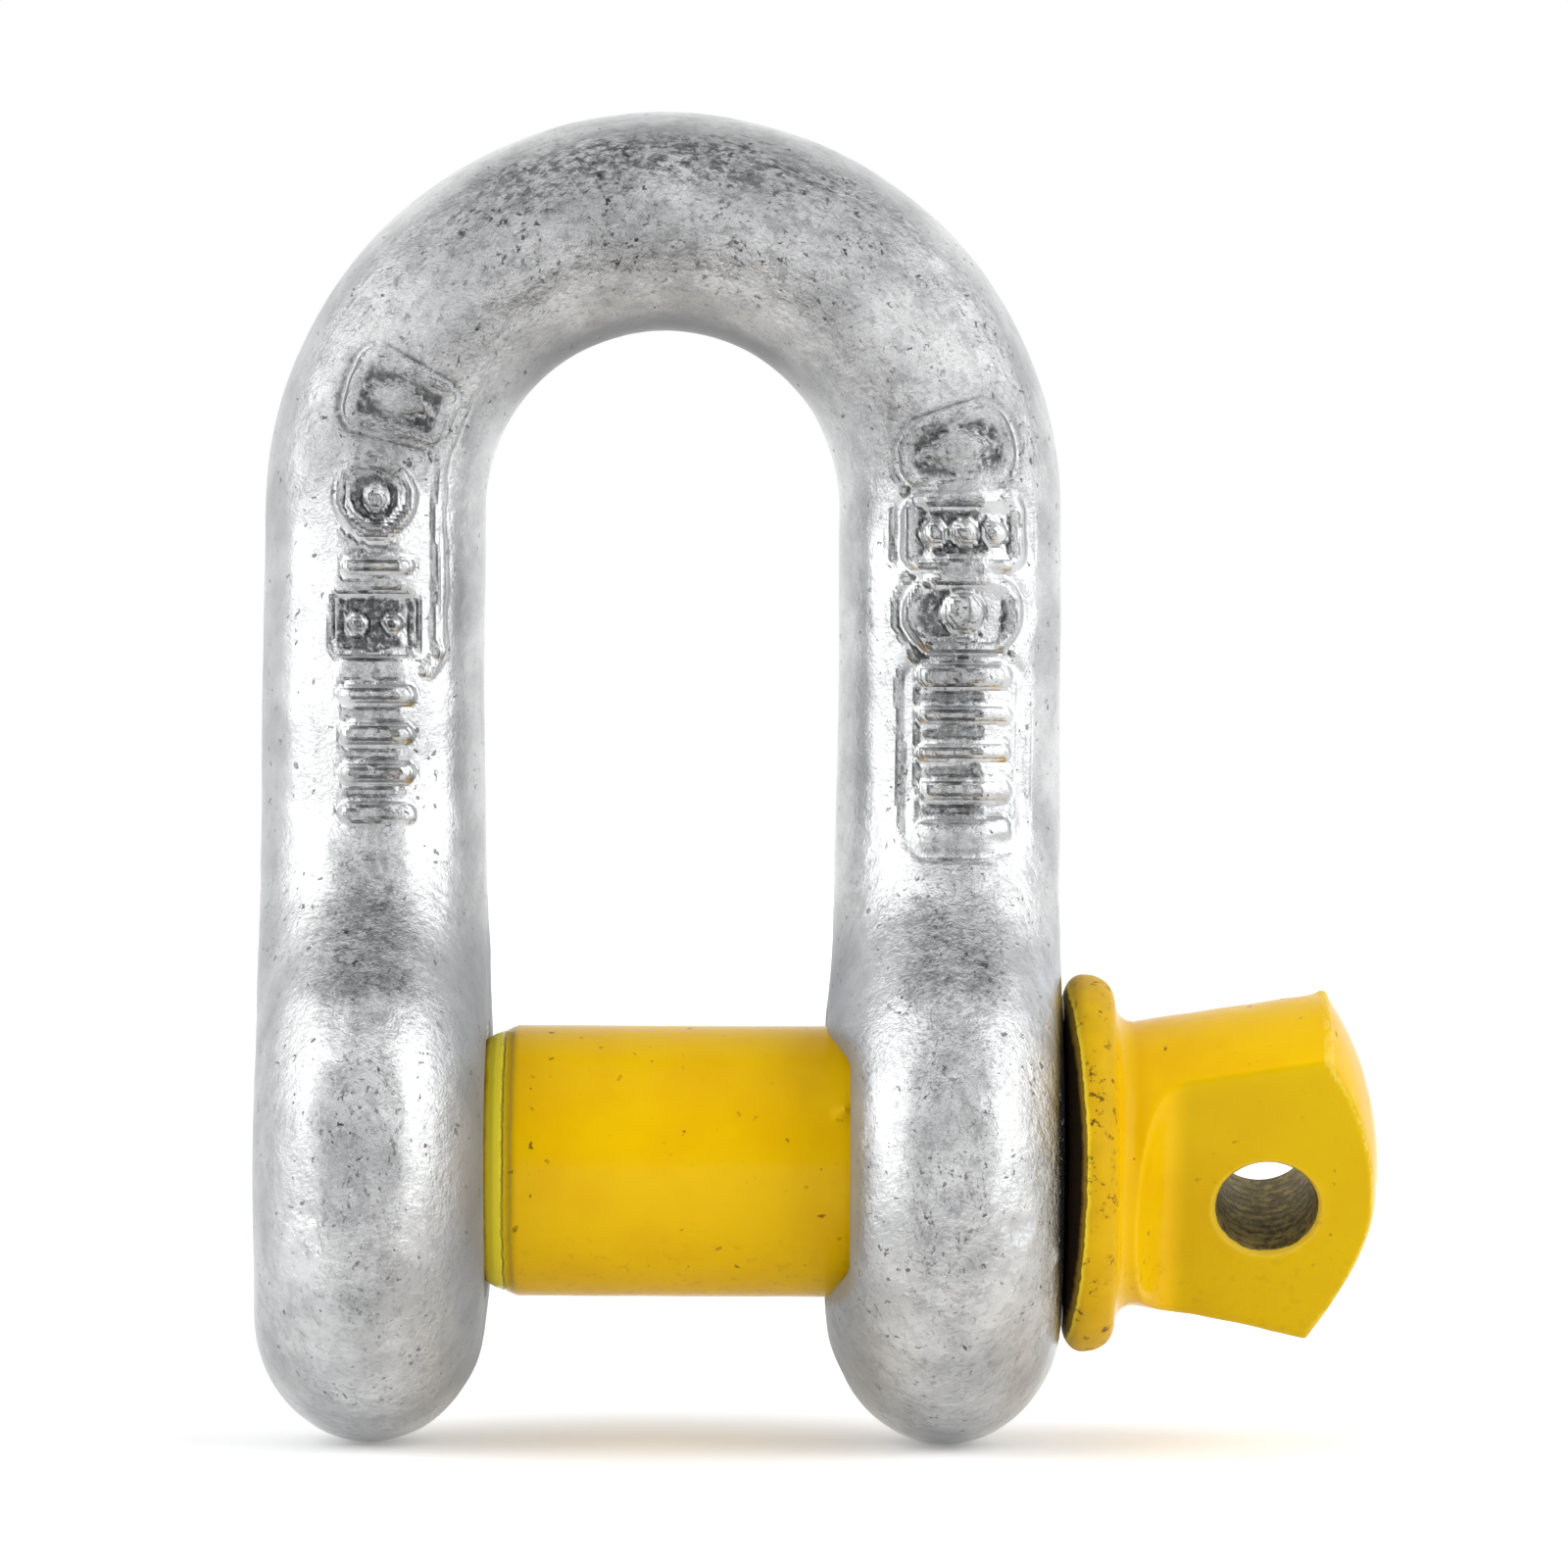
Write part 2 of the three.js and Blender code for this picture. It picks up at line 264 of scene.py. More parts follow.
def bar_stations():
    """Heights up one leg from just above the eye's lowest point to the bow's start."""
    eye_count = round(EYE_R * math.pi / 2 / EYE_STEP)
    eye = -EYE_R * np.cos(np.arange(1, eye_count + 1) / eye_count * math.pi / 2)
    lower = np.arange(EYE_STEP, MARKS_LOW_Z, EYE_STEP)
    upper = np.arange(MARKS_LOW_Z, BOW_Z, LEG_STEP)
    return np.concatenate([eye, lower, upper])


def bar_angles():
    """Angles round the bar's section, closer together on the front, where the marks are."""
    front = np.linspace(math.pi, 2 * math.pi, FRONT_POINTS, endpoint=False)
    back = np.linspace(0, math.pi, BACK_POINTS, endpoint=False)
    return np.concatenate([back, front])


def bar_grid():
    """Rings of the whole bar, from the tapped eye's lowest point to the plain eye's."""
    angle = bar_angles()
    z = bar_stations()
    y = half_width(z)[:, None] * np.sin(angle)
    reach = np.sign(np.cos(angle)) * half_thickness(y, z[:, None])
    share = eye_share(z)[:, None]
    zz = z[:, None] * np.ones_like(y)
    right = np.stack([mix(LEG_X, PLAIN_EYE_X, share) + reach, y, zz], -1)
    left = np.stack([mix(-LEG_X, TAPPED_EYE_X, share) - reach, y, zz], -1)
    count = round(math.pi * LEG_X / BOW_STEP)
    sweep = np.pi * (1 - np.arange(count + 1) / count)[:, None]
    out = LEG_X + STOCK_R * np.cos(angle)
    depth = STOCK_R * np.sin(angle) * np.ones_like(sweep)
    bow = np.stack([out * np.cos(sweep), depth, BOW_Z + out * np.sin(sweep)], -1)
    return np.concatenate([left, bow, right[::-1]])


def along_bar(points):
    """Distance along the bar from the crown, and distance outward from the bar's middle."""
    x, z = points[..., 0], points[..., 2]
    on_bow = z > BOW_Z
    outward = np.where(on_bow, np.hypot(x, z - BOW_Z), np.abs(x)) - LEG_X
    turn = np.arctan2(x, np.maximum(z - BOW_Z, 1e-6))
    along = np.where(on_bow, LEG_X * turn, np.sign(x) * (LEG_X * math.pi / 2 + BOW_Z - z))
    return along, outward


# ---- marks forged into the legs: cells, beads, rings and rods that spell nothing ----

# a mark's places are u, outward across the leg, and v, up the leg and on round the bow

# heights of the marks' parts above the bar, or below it where negative
GROOVE = -0.3
SUNK = -0.24
BLOCK_SUNK = -0.42
RAISED = 0.34
SHAPE_RAISED = 0.59
RIM_RAISED = 0.14
RIDGE_RAISED = 0.2

RIGHT_U = 0.6
# each rod's v and half its height
RODS_RIGHT = ((28.6, 0.75), (26.4, 0.6), (24.2, 0.6), (22.0, 0.7), (19.7, 0.7))
RODS_LEFT = ((27.4, 0.65), (25.1, 0.7), (22.8, 0.65), (20.5, 0.75))
RIDGE_ENDS = (((4.0, 30.0), (4.0, 46.5)), ((4.0, 30.0), (3.3, 28.8)))
RIDGE_HALF = 0.42


def disc(u, v, at, radius):
    """Distance outside a circle."""
    return np.hypot(u - at[0], v - at[1]) - radius


def slab(u, v, at, half, corner):
    """Distance outside a rectangle with rounded corners."""
    du = np.abs(u - at[0]) - half[0] + corner
    dv = np.abs(v - at[1]) - half[1] + corner
    return np.hypot(np.maximum(du, 0), np.maximum(dv, 0)) + np.minimum(np.maximum(du, dv), 0) - corner


def stroke(u, v, start, end, half):
    """Distance outside a straight stroke with round ends."""
    along = np.array(end, float) - start
    share = ((u - start[0]) * along[0] + (v - start[1]) * along[1]) / (along @ along)
    share = np.clip(share, 0, 1)
    return np.hypot(u - start[0] - share * along[0], v - start[1] - share * along[1]) - half


def lozenge(u, v, at, half):
    """Distance outside a lozenge, close enough for a shallow mark."""
    slope = half[0] * half[1] / math.hypot(*half)
    return (np.abs(u - at[0]) / half[0] + np.abs(v - at[1]) / half[1] - 1) * slope


def pad(distance, height, soft):
    """A flat top, or a sunk floor where height is negative, inside an outline."""
    return height * below(distance, -soft, soft)


def line(distance, half, height, soft):
    """A ridge along an outline, or a groove where height is negative."""
    return height * below(np.abs(distance), half - soft, half + soft)


def dome(distance, height, reach):
    """A rounded top inside an outline, level from reach in from its edge."""
    inside = np.clip(-distance / reach, 0, 1)
    return height * np.sqrt(1 - (1 - inside) ** 2)


def rod(u, v, at, half, height=RAISED):
    """A plain raised rod with round ends, lying across the leg."""
    return dome(slab(u, v, at, half, min(half)), height, min(half))


def cell(u, v, at, half, corner):
    """A sunk floor with a rounded rim and a soft groove round it."""
    outline = slab(u, v, at, half, corner)
    rim = line(outline, half=0.26, height=RIM_RAISED, soft=0.22)
    moat = line(outline - 0.55, half=0.26, height=GROOVE * 0.6, soft=0.24)
    return rim + moat + pad(outline + 0.5, SUNK, soft=0.3)


def right_marks(u, v):
    """Three cells, with a lozenge, three beads and a button, over a ladder of rods."""
    high = cell(u, v, at=(0.5, 41.7), half=(3.2, 2.0), corner=1.7)
    high += dome(lozenge(u, v, at=(0.5, 41.7), half=(2.5, 1.45)), SHAPE_RAISED, reach=0.8)
    high += cell(u, v, at=(RIGHT_U, 37.0), half=(3.3, 2.0), corner=0.8)
    for away in (-1.8, 0, 1.8):
        high += dome(disc(u, v, at=(RIGHT_U + away, 37.0), radius=0.82), SHAPE_RAISED, reach=0.82)
    high += cell(u, v, at=(RIGHT_U, 32.3), half=(3.2, 2.1), corner=2.0)
    high += dome(disc(u, v, at=(RIGHT_U, 32.3), radius=1.3), SHAPE_RAISED, reach=1.1)
    for level, tall in RODS_RIGHT:
        high += rod(u, v, at=(0.7, level), half=(2.9, tall))
    ladder = slab(u, v, at=(0.7, 24.1), half=(3.3, 5.5), corner=1.2)
    high += pad(ladder + 0.2, SUNK * 0.7, soft=0.4)
    return high + line(ladder - 0.2, half=0.3, height=GROOVE * 0.5, soft=0.25)


def left_marks(u, v):
    """A lozenge, a ring round a bead, a rod, a sunk block with two beads, and four rods."""
    high = cell(u, v, at=(0.5, 44.9), half=(2.9, 2.0), corner=0.9)
    high += dome(lozenge(u, v, at=(0.5, 44.9), half=(2.3, 1.4)), RAISED + 0.2, reach=0.8)
    high += dome(np.abs(disc(u, v, at=(0.2, 38.9), radius=2.1)) - 0.5, RAISED, reach=0.5)
    high += pad(disc(u, v, at=(0.2, 38.9), radius=1.6), SUNK, soft=0.3)
    high += dome(disc(u, v, at=(0.3, 38.8), radius=0.75), RAISED + 0.15, reach=0.7)
    high += rod(u, v, at=(0.4, 34.9), half=(2.2, 0.6))
    high += pad(slab(u, v, at=(0.3, 31.5), half=(2.4, 1.8), corner=0.6), BLOCK_SUNK, soft=0.3)
    for away in (-1.1, 1.1):
        high += dome(disc(u, v, at=(0.3 + away, 31.5), radius=0.6), height=0.5, reach=0.6)
    for level, tall in RODS_LEFT:
        high += rod(u, v, at=(0.4, level), half=(2.3, tall), height=RAISED + 0.1)
    for start, end in RIDGE_ENDS:
        high += dome(stroke(u, v, start, end, RIDGE_HALF), RIDGE_RAISED, reach=RIDGE_HALF)
    return high


def forging_marks(points):
    """Height of the marks at points of the bar, which are on its front alone."""
    x, y, z = points[..., 0], points[..., 1], points[..., 2]
    side = np.sign(x)
    on_bow = z > BOW_Z
    u = side * (np.where(on_bow, np.hypot(x, z - BOW_Z), np.abs(x)) - LEG_X)
    turn = np.arctan2(np.maximum(z - BOW_Z, 0), np.abs(x))
    v = np.where(on_bow, BOW_Z + LEG_X * turn, z)
    # the outlines waver a little, as worn dies leave them
    drift_u = 0.14 * lumps(points, 2.2, seed=21) + 0.05 * lumps(points, 0.9, seed=23)
    drift_v = 0.16 * lumps(points, 2.4, seed=24) + 0.05 * lumps(points, 0.9, seed=25)
    u, v = u + drift_u, v + drift_v
    high = np.where(side > 0, right_marks(u, v), left_marks(u, v))
    wear = 0.95 + 0.3 * lumps(points, 2.6, seed=22)
    return np.where(y < 0, high * wear * smooth(-y, 1.5, 3.5), 0)


# places on the eyes' fronts that a hammer or a gas bubble left: x, z, radius, depth
DENTS = [
    (20.7, -3.2, 0.8, 0.22), (18.2, 1.8, 1.1, 0.1), (16.6, 5.9, 0.7, 0.16), (19.3, 4.6, 0.8, 0.12),
    (15.4, -6.8, 1.2, 0.08), (17.4, -9.6, 0.8, 0.1), (16.9, -1.2, 0.9, 0.14), (17.6, -12.2, 0.7, 0.12),
    (-20.2, -2.6, 0.6, 0.16), (-19.9, -4.2, 0.5, 0.18), (-17.8, 1.2, 1.0, 0.1), (-15.6, 3.6, 0.8, 0.12),
    (-17.2, -6.5, 1.1, 0.1), (-15.6, -2.2, 1.0, 0.1), (-19.2, 6.9, 0.9, 0.08), (-16.9, 9.3, 0.9, 0.12),
]
ZINC_BURR = (23.3, -11.3, -4.9)
BURR_HIGH = 0.4
BURR_R = 0.55
TAPPED_EYE_IN = 0.25
LEG_OUT = 0.22
PLAIN_EYE_SWELL = 0.5
PLAIN_LEG_SWELL = 0.2
RIM_WEAR = 0.9
LEG_BEND = (BOW_Z - 10, BOW_Z + 6)
INNER_SIDE = (2, 5)


def dents(points):
    """Ragged hollows in the eyes' fronts, each with a faint raised edge."""
    high = np.zeros(points.shape[:-1])
    ragged = 1 + 0.5 * lumps(points, 0.7, seed=31)
    for x, z, radius, depth in DENTS:
        away = ragged * np.hypot(points[..., 0] - x, points[..., 2] - z) / radius
        hollow = -depth * np.exp(-((away * 1.2) ** 4))
        raised_edge = 0.2 * depth * np.exp(-((away - 1.1) ** 2) * 14)
        high += np.where(points[..., 1] < 0, hollow + raised_edge, 0)
    return high


def uneven(grid):
    """The bar with the forging's own small departures, along X, from its drawing."""
    x, y, z = (grid[..., k] for k in range(3))
    move = TAPPED_EYE_IN * smooth(-x, 8, 9) * eye_share(z) * smooth(z, -11, -5)
    outer_left = smooth(-x, LEG_X, LEG_X + STOCK_R)
    move -= LEG_OUT * outer_left * zone(z, 6, 12, *LEG_BEND)
    inner_right = smooth(LEG_X - x, *INNER_SIDE) * smooth(x, 8, 9.5)
    move -= PLAIN_EYE_SWELL * inner_right * below(np.abs(z), 8, 13)
    move -= PLAIN_LEG_SWELL * inner_right * zone(z, 9, 13, BOW_Z, BOW_Z + 9)
    worn_rim = smooth(-y, 1, 3.5) * below(np.hypot(y, z), 10.5, 15.5) * below(np.abs(z), 5.8, 8.2)
    move += (RIM_WEAR + PLAIN_EYE_SWELL) * inner_right * worn_rim
    return grid + move[..., None] * [1, 0, 0]


# how coarse each zone is, where 1 is the crown
TRAIL_COARSE = 0.75
FLANK_COARSE = 0.5
EYE_COARSE = 0.2
EYE_LOW_COARSE = 0.12
EYE_MIDDLE_COARSE = 0.65
SHOULDER_COARSE = 0.8
MARKS_COARSE = 0.7
BY_MARKS_COARSE = 0.15
BACK_COARSE = 0.93
MARKS_RISE_Z = (18, 21)
MARKS_FADE_Z = (BOW_Z + 2, BOW_Z + 9)
BOW_RISE_Z = (BOW_Z - 1, BOW_Z + 4)
EYE_FADE_Z = (16, 22)
# how far below its usual height the painted shade of each leg's shoulder ends
SHOULDER_DROP_RIGHT = 2.4
SHOULDER_DROP_LEFT = -2.2
LEG_PAINTED_SHADE = 0.5
PAINTED_SHADE_HALF = 4.4
PAINTED_SHADE_NARROWS = 1.6
# lumps of the forged surface: size across, height, and height added where it is coarse
BODY_LUMPS = [(9, 0.09, 0), (3, 0.025, 0), (1.3, 0.01, 0.035), (0.6, 0.004, 0.062)]
EYE_LUMP = 2.0
EYE_LUMP_HIGH = 0.03
FLAT_SMOOTHED = 0.75
LUMP_BIAS = 0.05


def coarse_share(points, normals):
    """Where the zinc is coarse: the crown, the marks and a band down each eye's front and back."""
    x, z = points[..., 0], points[..., 2]
    facing = np.where(normals[..., 1] < 0, -normals[..., 1], BACK_COARSE * normals[..., 1])
    along, outward = along_bar(points)
    from_eye = np.abs(x - np.where(x > 0, PLAIN_EYE_X, TAPPED_EYE_X))

    crown = below(np.abs(along), 10, 18) * smooth(facing, 0.2, 0.7)
    crown = crown * (1 - 0.7 * smooth(-outward, 2, 4)) * (1 - 0.85 * smooth(outward, 4.4, 5.8))
    trail = TRAIL_COARSE * zone(-outward, -1.5, 1, 2.5, 4.5)
    trail = trail * smooth(z, *BOW_RISE_Z) * smooth(facing, 0.5, 0.9)
    flank = FLANK_COARSE * smooth(z, BOW_Z - 2, BOW_Z + 4) * smooth(facing, 0.3, 0.9)

    middle = EYE_MIDDLE_COARSE * smooth(facing, 0.8, 0.97) * smooth(3.4 - from_eye, 0, 2)
    all_over = (EYE_COARSE + EYE_LOW_COARSE * below(z, -10, -5)) * smooth(facing, 0, 0.5)
    eye = below(z, *EYE_FADE_Z) * (all_over + middle)
    shoulder = SHOULDER_COARSE * zone(z, 8, 11, 14.5, 17.5) * smooth(facing, 0.3, 0.7)
    shoulder = shoulder * (1 - 0.85 * smooth(from_eye, 2, 4.4))
    shoulder = shoulder * (1 - 0.7 * smooth(z, 12, 16) * smooth(from_eye, 0.8, 3))

    marked = np.maximum(MARKS_COARSE * smooth(facing, 0.94, 0.985),
                        BY_MARKS_COARSE * smooth(facing, 0.8, 0.9))
    marked = marked * zone(z, *MARKS_RISE_Z, *MARKS_FADE_Z)
    return np.max([crown, trail, flank, eye, shoulder, marked], axis=0)


def painted_shade_share(points, normals):
    """Where painted shade darkens the zinc, standing in for the dark room it reflects: down the middle of
    each leg's front, and most at its shoulders.
    """
    x, z = points[..., 0], points[..., 2]
    facing = np.abs(normals[..., 1])
    along, outward = along_bar(points)
    leg = LEG_PAINTED_SHADE * smooth(-normals[..., 1], 0, 0.5) * zone(z, 17, 20, BOW_Z + 4, BOW_Z + 10)
    leg = leg * smooth(2.2 - np.abs(outward), 0, 1.6)
    middle = np.where(x > 0, PLAIN_EYE_X - 0.3, TAPPED_EYE_X + 0.3)
    half = PAINTED_SHADE_HALF - PAINTED_SHADE_NARROWS * smooth(z, 11, 16)
    raised_z = z + np.where(x > 0, SHOULDER_DROP_RIGHT, SHOULDER_DROP_LEFT)
    shoulder = smooth(z, 7.5, 11.5) * below(raised_z, 14, 19) * smooth(half - np.abs(x - middle), 0, 3)
    return np.maximum(leg, shoulder) * smooth(facing, 0.5, 0.85)


def surface_height(grid, normals):
    """What the forging, the hammer and the zinc bath add to the bar's smooth surface."""
    z = grid[..., 2]
    coarse = coarse_share(grid, normals)
    high = forging_marks(grid) + dents(grid)
    for seed, (size, height, added) in enumerate(BODY_LUMPS, 1):
        high += (height + added * coarse) * lumps(grid, size, seed)
    high += EYE_LUMP_HIGH * below(z, 14, 22) * lumps(grid, EYE_LUMP, seed=5)
    from_burr = np.linalg.norm(grid - np.array(ZINC_BURR), axis=-1)
    high += BURR_HIGH * np.exp(-((from_burr / BURR_R) ** 2))
    # the flat faces round the holes are smoother, so that the pin's collar seats
    flat = smooth(np.abs(normals[..., 0]), 0.85, 0.97) * below(z, 10, 13)
    return high * (1 - FLAT_SMOOTHED * flat) - LUMP_BIAS


def store(piece, name, values):
    """Keeps one number per point of piece, for its material."""
    piece.data.attributes.new(name, "FLOAT", "POINT").data.foreach_set("value", values)


def points_of(piece):
    """A piece's points in millimetres, and its normals there."""
    count = len(piece.data.vertices)
    places, normals = np.empty(count * 3), np.empty(count * 3)
    piece.data.vertices.foreach_get("co", places)
    piece.data.vertices.foreach_get("normal", normals)
    return places.reshape(-1, 3) / MM, normals.reshape(-1, 3)


FLOW_STRETCH = 1.4
PLAIN_LIP = 0.5
CUT_PAST = 3
THREAD_COLUMNS = 120
THREAD_STEP = 0.12
THREAD_LIP_MOST = 1.2
SUNK_FULL = 0.4
LEFT_EDGE_MATT_SHADE = 0.45
# how much painted shade the legs' inner faces get
LEG_INNER_SHADE = 0.15


def cut_plain_hole(body):
    """The clearance hole of the right eye, with rounded lips."""
    low, high = PLAIN_EYE_X - EYE_HALF, PLAIN_OUTER_X
    wide = PLAIN_HOLE_R + 2 * PLAIN_LIP
    xs = [low - CUT_PAST, low - PLAIN_LIP, low + PLAIN_LIP,
          high - PLAIN_LIP, high + PLAIN_LIP, high + CUT_PAST]
    radii = [wide, wide, PLAIN_HOLE_R, PLAIN_HOLE_R, wide, wide]
    cut(body, turned_cutter("plain_hole", xs, radii))


def cut_tapped_hole(body):
    """The threaded hole of the left eye, opened out at both faces."""
    xs = np.arange(TAPPED_OUTER_X - 1, TAPPED_INNER_X + 1, THREAD_STEP)
    angle = np.linspace(0, 2 * math.pi, THREAD_COLUMNS, endpoint=False)
    depth = EYE_THREAD_ROOT_R - EYE_THREAD_CREST_R
    radii = EYE_THREAD_CREST_R + depth * thread_height(xs[:, None], angle)
    mouth = PLAIN_LIP + np.maximum(xs - TAPPED_INNER_X, TAPPED_OUTER_X - xs)
    opened = EYE_THREAD_CREST_R + np.clip(mouth, -9, THREAD_LIP_MOST)
    radii = np.maximum(radii, opened[:, None])
    cut(body, turned_cutter("tapped_hole", xs, radii, THREAD_COLUMNS))


def store_zinc(body):
    """Keeps on the body what the zinc's material asks of each of its points."""
    places, normals = points_of(body)
    x, y, z = places.T
    from_pin = np.hypot(y, z)
    reach = np.maximum(np.hypot(x, z - BOW_Z), 1e-6)
    inward = -np.where(z > BOW_Z, (normals[:, 0] * x + normals[:, 2] * (z - BOW_Z)) / reach,
                       normals[:, 0] * np.sign(x))
    along, outward = along_bar(places)

    store(body, "sunk", np.clip(-forging_marks(places) / SUNK_FULL, 0, 1))
    store(body, "coarse", coarse_share(places, normals))
    # painted shade: zinc facing the inside of the bow and the other leg is darkened, as where shade falls
    # between the legs
    under_crown = smooth(z, BOW_Z + 2, BOW_Z + 10) * smooth(inward, 0.72, 0.96)
    store(body, "inner_shade", np.maximum(LEG_INNER_SHADE * smooth(inward, 0.6, 1), under_crown))
    # duller zinc on the eyes' faces round the pin and on the left eye's outer edge; its darker colour
    # there is painted shade
    by_hole = below(from_pin, 11.5, 17) * smooth(inward, 0.35, 0.75)
    outer_left = LEFT_EDGE_MATT_SHADE * smooth(-normals[:, 0], 0.64, 0.86) * (x < -LEG_X)
    store(body, "matt_and_shade", np.maximum(by_hole, outer_left))
    # painted reflection: the zinc by the pin is tinted cool, to take out some of the yellow it reflects
    # from the pin
    by_pin = below(from_pin, 12, 16) * smooth(np.abs(normals[:, 0]), 0.5, 0.9)
    store(body, "by_pin", by_pin * (np.maximum(x, normals[:, 0]) > 0))
    # painted shade down the legs' fronts and at their shoulders
    store(body, "painted_shade", painted_shade_share(places, normals))
    crown = below(np.abs(along + 1), 4, 11) * zone(outward, 1, 3, 4, 5.3)
    store(body, "crown", crown * (y < 0))
    flow = np.stack([along / FLOW_STRETCH, outward, y], -1)
    body.data.attributes.new("flow", "FLOAT_VECTOR", "POINT").data.foreach_set("vector", flow.ravel())


def make_body():
    """The forged bar, with both holes cut."""
    grid = bar_grid()
    normals = grid_normals(grid)
    surface = uneven(grid) + normals * surface_height(grid, normals)[..., None]
    surface = np.clip(surface, BODY_LOW, BODY_HIGH)
    ends = [(TAPPED_EYE_X, 0, BODY_LOW.z), (PLAIN_EYE_X, 0, BODY_LOW.z)]
    body = grid_object("forged_body", surface, *ends)
    cut_plain_hole(body)
    cut_tapped_hole(body)
    store_zinc(body)
    return body


# ---- screw pin ----

PIN_COLUMNS = 240
THREAD_RING_STEP = 0.1
SHANK_RING_STEP = 0.35
HEAD_RING_STEP = 0.16
ARC_STEP = 0.1
COLLAR_RIM = 1.55
FLAT_CURVE_POINTS = 40
NO_FLAT = 99
FLAT_EDGE_ROUNDING = 0.9


def arc(centre_x, centre_r, radius, start, stop):
    """Points of an arc of the pin's outline, between two angles in degrees."""
    count = max(2, round(abs(radius * math.radians(stop - start)) / ARC_STEP))
    angle = np.radians(np.linspace(start, stop, count))
    return np.stack([centre_x + radius * np.cos(angle), centre_r + radius * np.sin(angle)], -1)


def pin_outline():
    """The pin's outline as it would be turned, [x, radius], from thread end to domed head."""
    tip_x = PIN_LOW.x
    thread_end_x = TAPPED_INNER_X - 0.5
    neck_x = COLLAR_X + COLLAR_THICK
    rise = PIN_HIGH.x - HEAD_EDGE_X
    dome_r = (HEAD_R**2 + rise**2) / (2 * rise)
    dome_angle = math.degrees(math.asin(HEAD_R / dome_r))
    crest = np.array([COLLAR_X + COLLAR_CREST, COLLAR_R - COLLAR_RIM])
    full_arc = np.abs(arc(0, 0, 1, 90, 0)) ** COLLAR_FULLNESS
    corners = [
        [[tip_x, 0.05], [tip_x, PIN_ROOT_R - 0.4], [tip_x + 0.9, PIN_CREST_R]],
        [[thread_end_x - 0.8, PIN_CREST_R], [thread_end_x, PIN_ROOT_R - 0.2]],
        [[thread_end_x + 0.2, PIN_ROOT_R - 0.2], [TAPPED_INNER_X, TAPER_END_R - 0.05]],
        [[TAPER_END_X - 1.3, TAPER_END_R + 0.36], [TAPER_END_X - 0.84, TAPER_END_R + 0.52]],
        [[TAPER_END_X - 0.76, TAPER_END_R + 0.48], [TAPER_END_X - 0.66, TAPER_END_R + 0.58]],
        [[TAPER_END_X - 0.1, PIN_R - 0.03], [TAPER_END_X + 0.1, PIN_R]],
        [[COLLAR_X - 0.4, PIN_R], [COLLAR_X, PIN_R + 0.4]],
        crest + arc(0, 0, 1, 180, 90) * [COLLAR_CREST, COLLAR_RIM],
        crest + full_arc * [COLLAR_THICK - COLLAR_CREST, COLLAR_RIM],
        arc(neck_x + NECK_FILLET, NECK_R + NECK_FILLET, NECK_FILLET, 180, 270),
        arc(PIN_HIGH.x - dome_r, 0, dome_r, dome_angle, 0.3),
    ]
    return np.vstack([np.asarray(c, float) for c in corners])


def resampled(outline, steps):
    """An outline's points moved to even distances, steps(x) apart."""
    length = np.concatenate([[0], np.cumsum(np.linalg.norm(np.diff(outline, axis=0), axis=1))])
    places, at = [0.0], 0.0
    while at < length[-1]:
        x = np.interp(at, length, outline[:, 0])
        at += steps(x)
        places.append(min(at, length[-1]))
    return np.stack([np.interp(places, length, outline[:, k]) for k in (0, 1)], -1)


def pin_step(x):
    """Distance between the pin's rings at a place along it."""
    if x < TAPER_END_X + 0.2:
        return THREAD_RING_STEP
    return SHANK_RING_STEP if x < COLLAR_X - 1 else HEAD_RING_STEP


def flat_half(x):
    """Half of the thickness between the head's flats, large where there are none."""
    u = np.linspace(0, 1, FLAT_CURVE_POINTS)
    curve_x = (1 - u) ** 2 * RUNOUT_START_X + 2 * u * (1 - u) * (RUNOUT_START_X + 1) + u**2 * RUNOUT_END_X
    curve_n = (1 - u) ** 2 * HEAD_R + (1 - (1 - u) ** 2) * TONGUE_HALF
    return np.where(x < RUNOUT_START_X, NO_FLAT, np.interp(x, curve_x, curve_n))


# small beads of paint and nicks on the pin: x, y, z, radius, height
PAINT_BEADS = [
    (38.75, -0.55, 10.2, 0.4, 0.26), (24.6, -10.8, 2.6, 0.5, 0.1), (24.5, -10.6, -3.9, 0.45, 0.12),
    (10.75, -7.3, 3.3, 0.3, 0.3), (10.4, -7.4, 2.9, 0.25, 0.2), (26.1, -10.2, -4.8, 0.5, -0.08),
    (25.4, -9.9, -5.4, 0.4, -0.1), (25.3, -11.1, -0.6, 0.5, -0.07), (3.2, -7.3, -3.4, 0.6, 0.05),
    (36.9, -4.9, -4.6, 0.35, 0.12), (33.3, -5.8, 0.4, 0.35, 0.1),
]
# lumps under the paint: seed, size across, height on the shank, and height added on the head
PAINT_LUMPS = [(7, 2.2, 0.012, 0.03), (8, 0.9, 0.004, 0.01)]
HEAD_TOP_LEAN = 0.15
HEAD_LOW_LEAN = 0.75
HEAD_FLARE = 0.3
HEAD_FLARE_X = 33.5
HOLE_BURR_HIGH = 0.06
HOLE_BURR_FROM = 0.45
HOLE_BURR_WIDE = 0.25
INSIDE_BOX = 0.005
HOLE_LIP = 0.35
HOLE_COLUMNS = 72
HOLE_CUT_HALF = 9


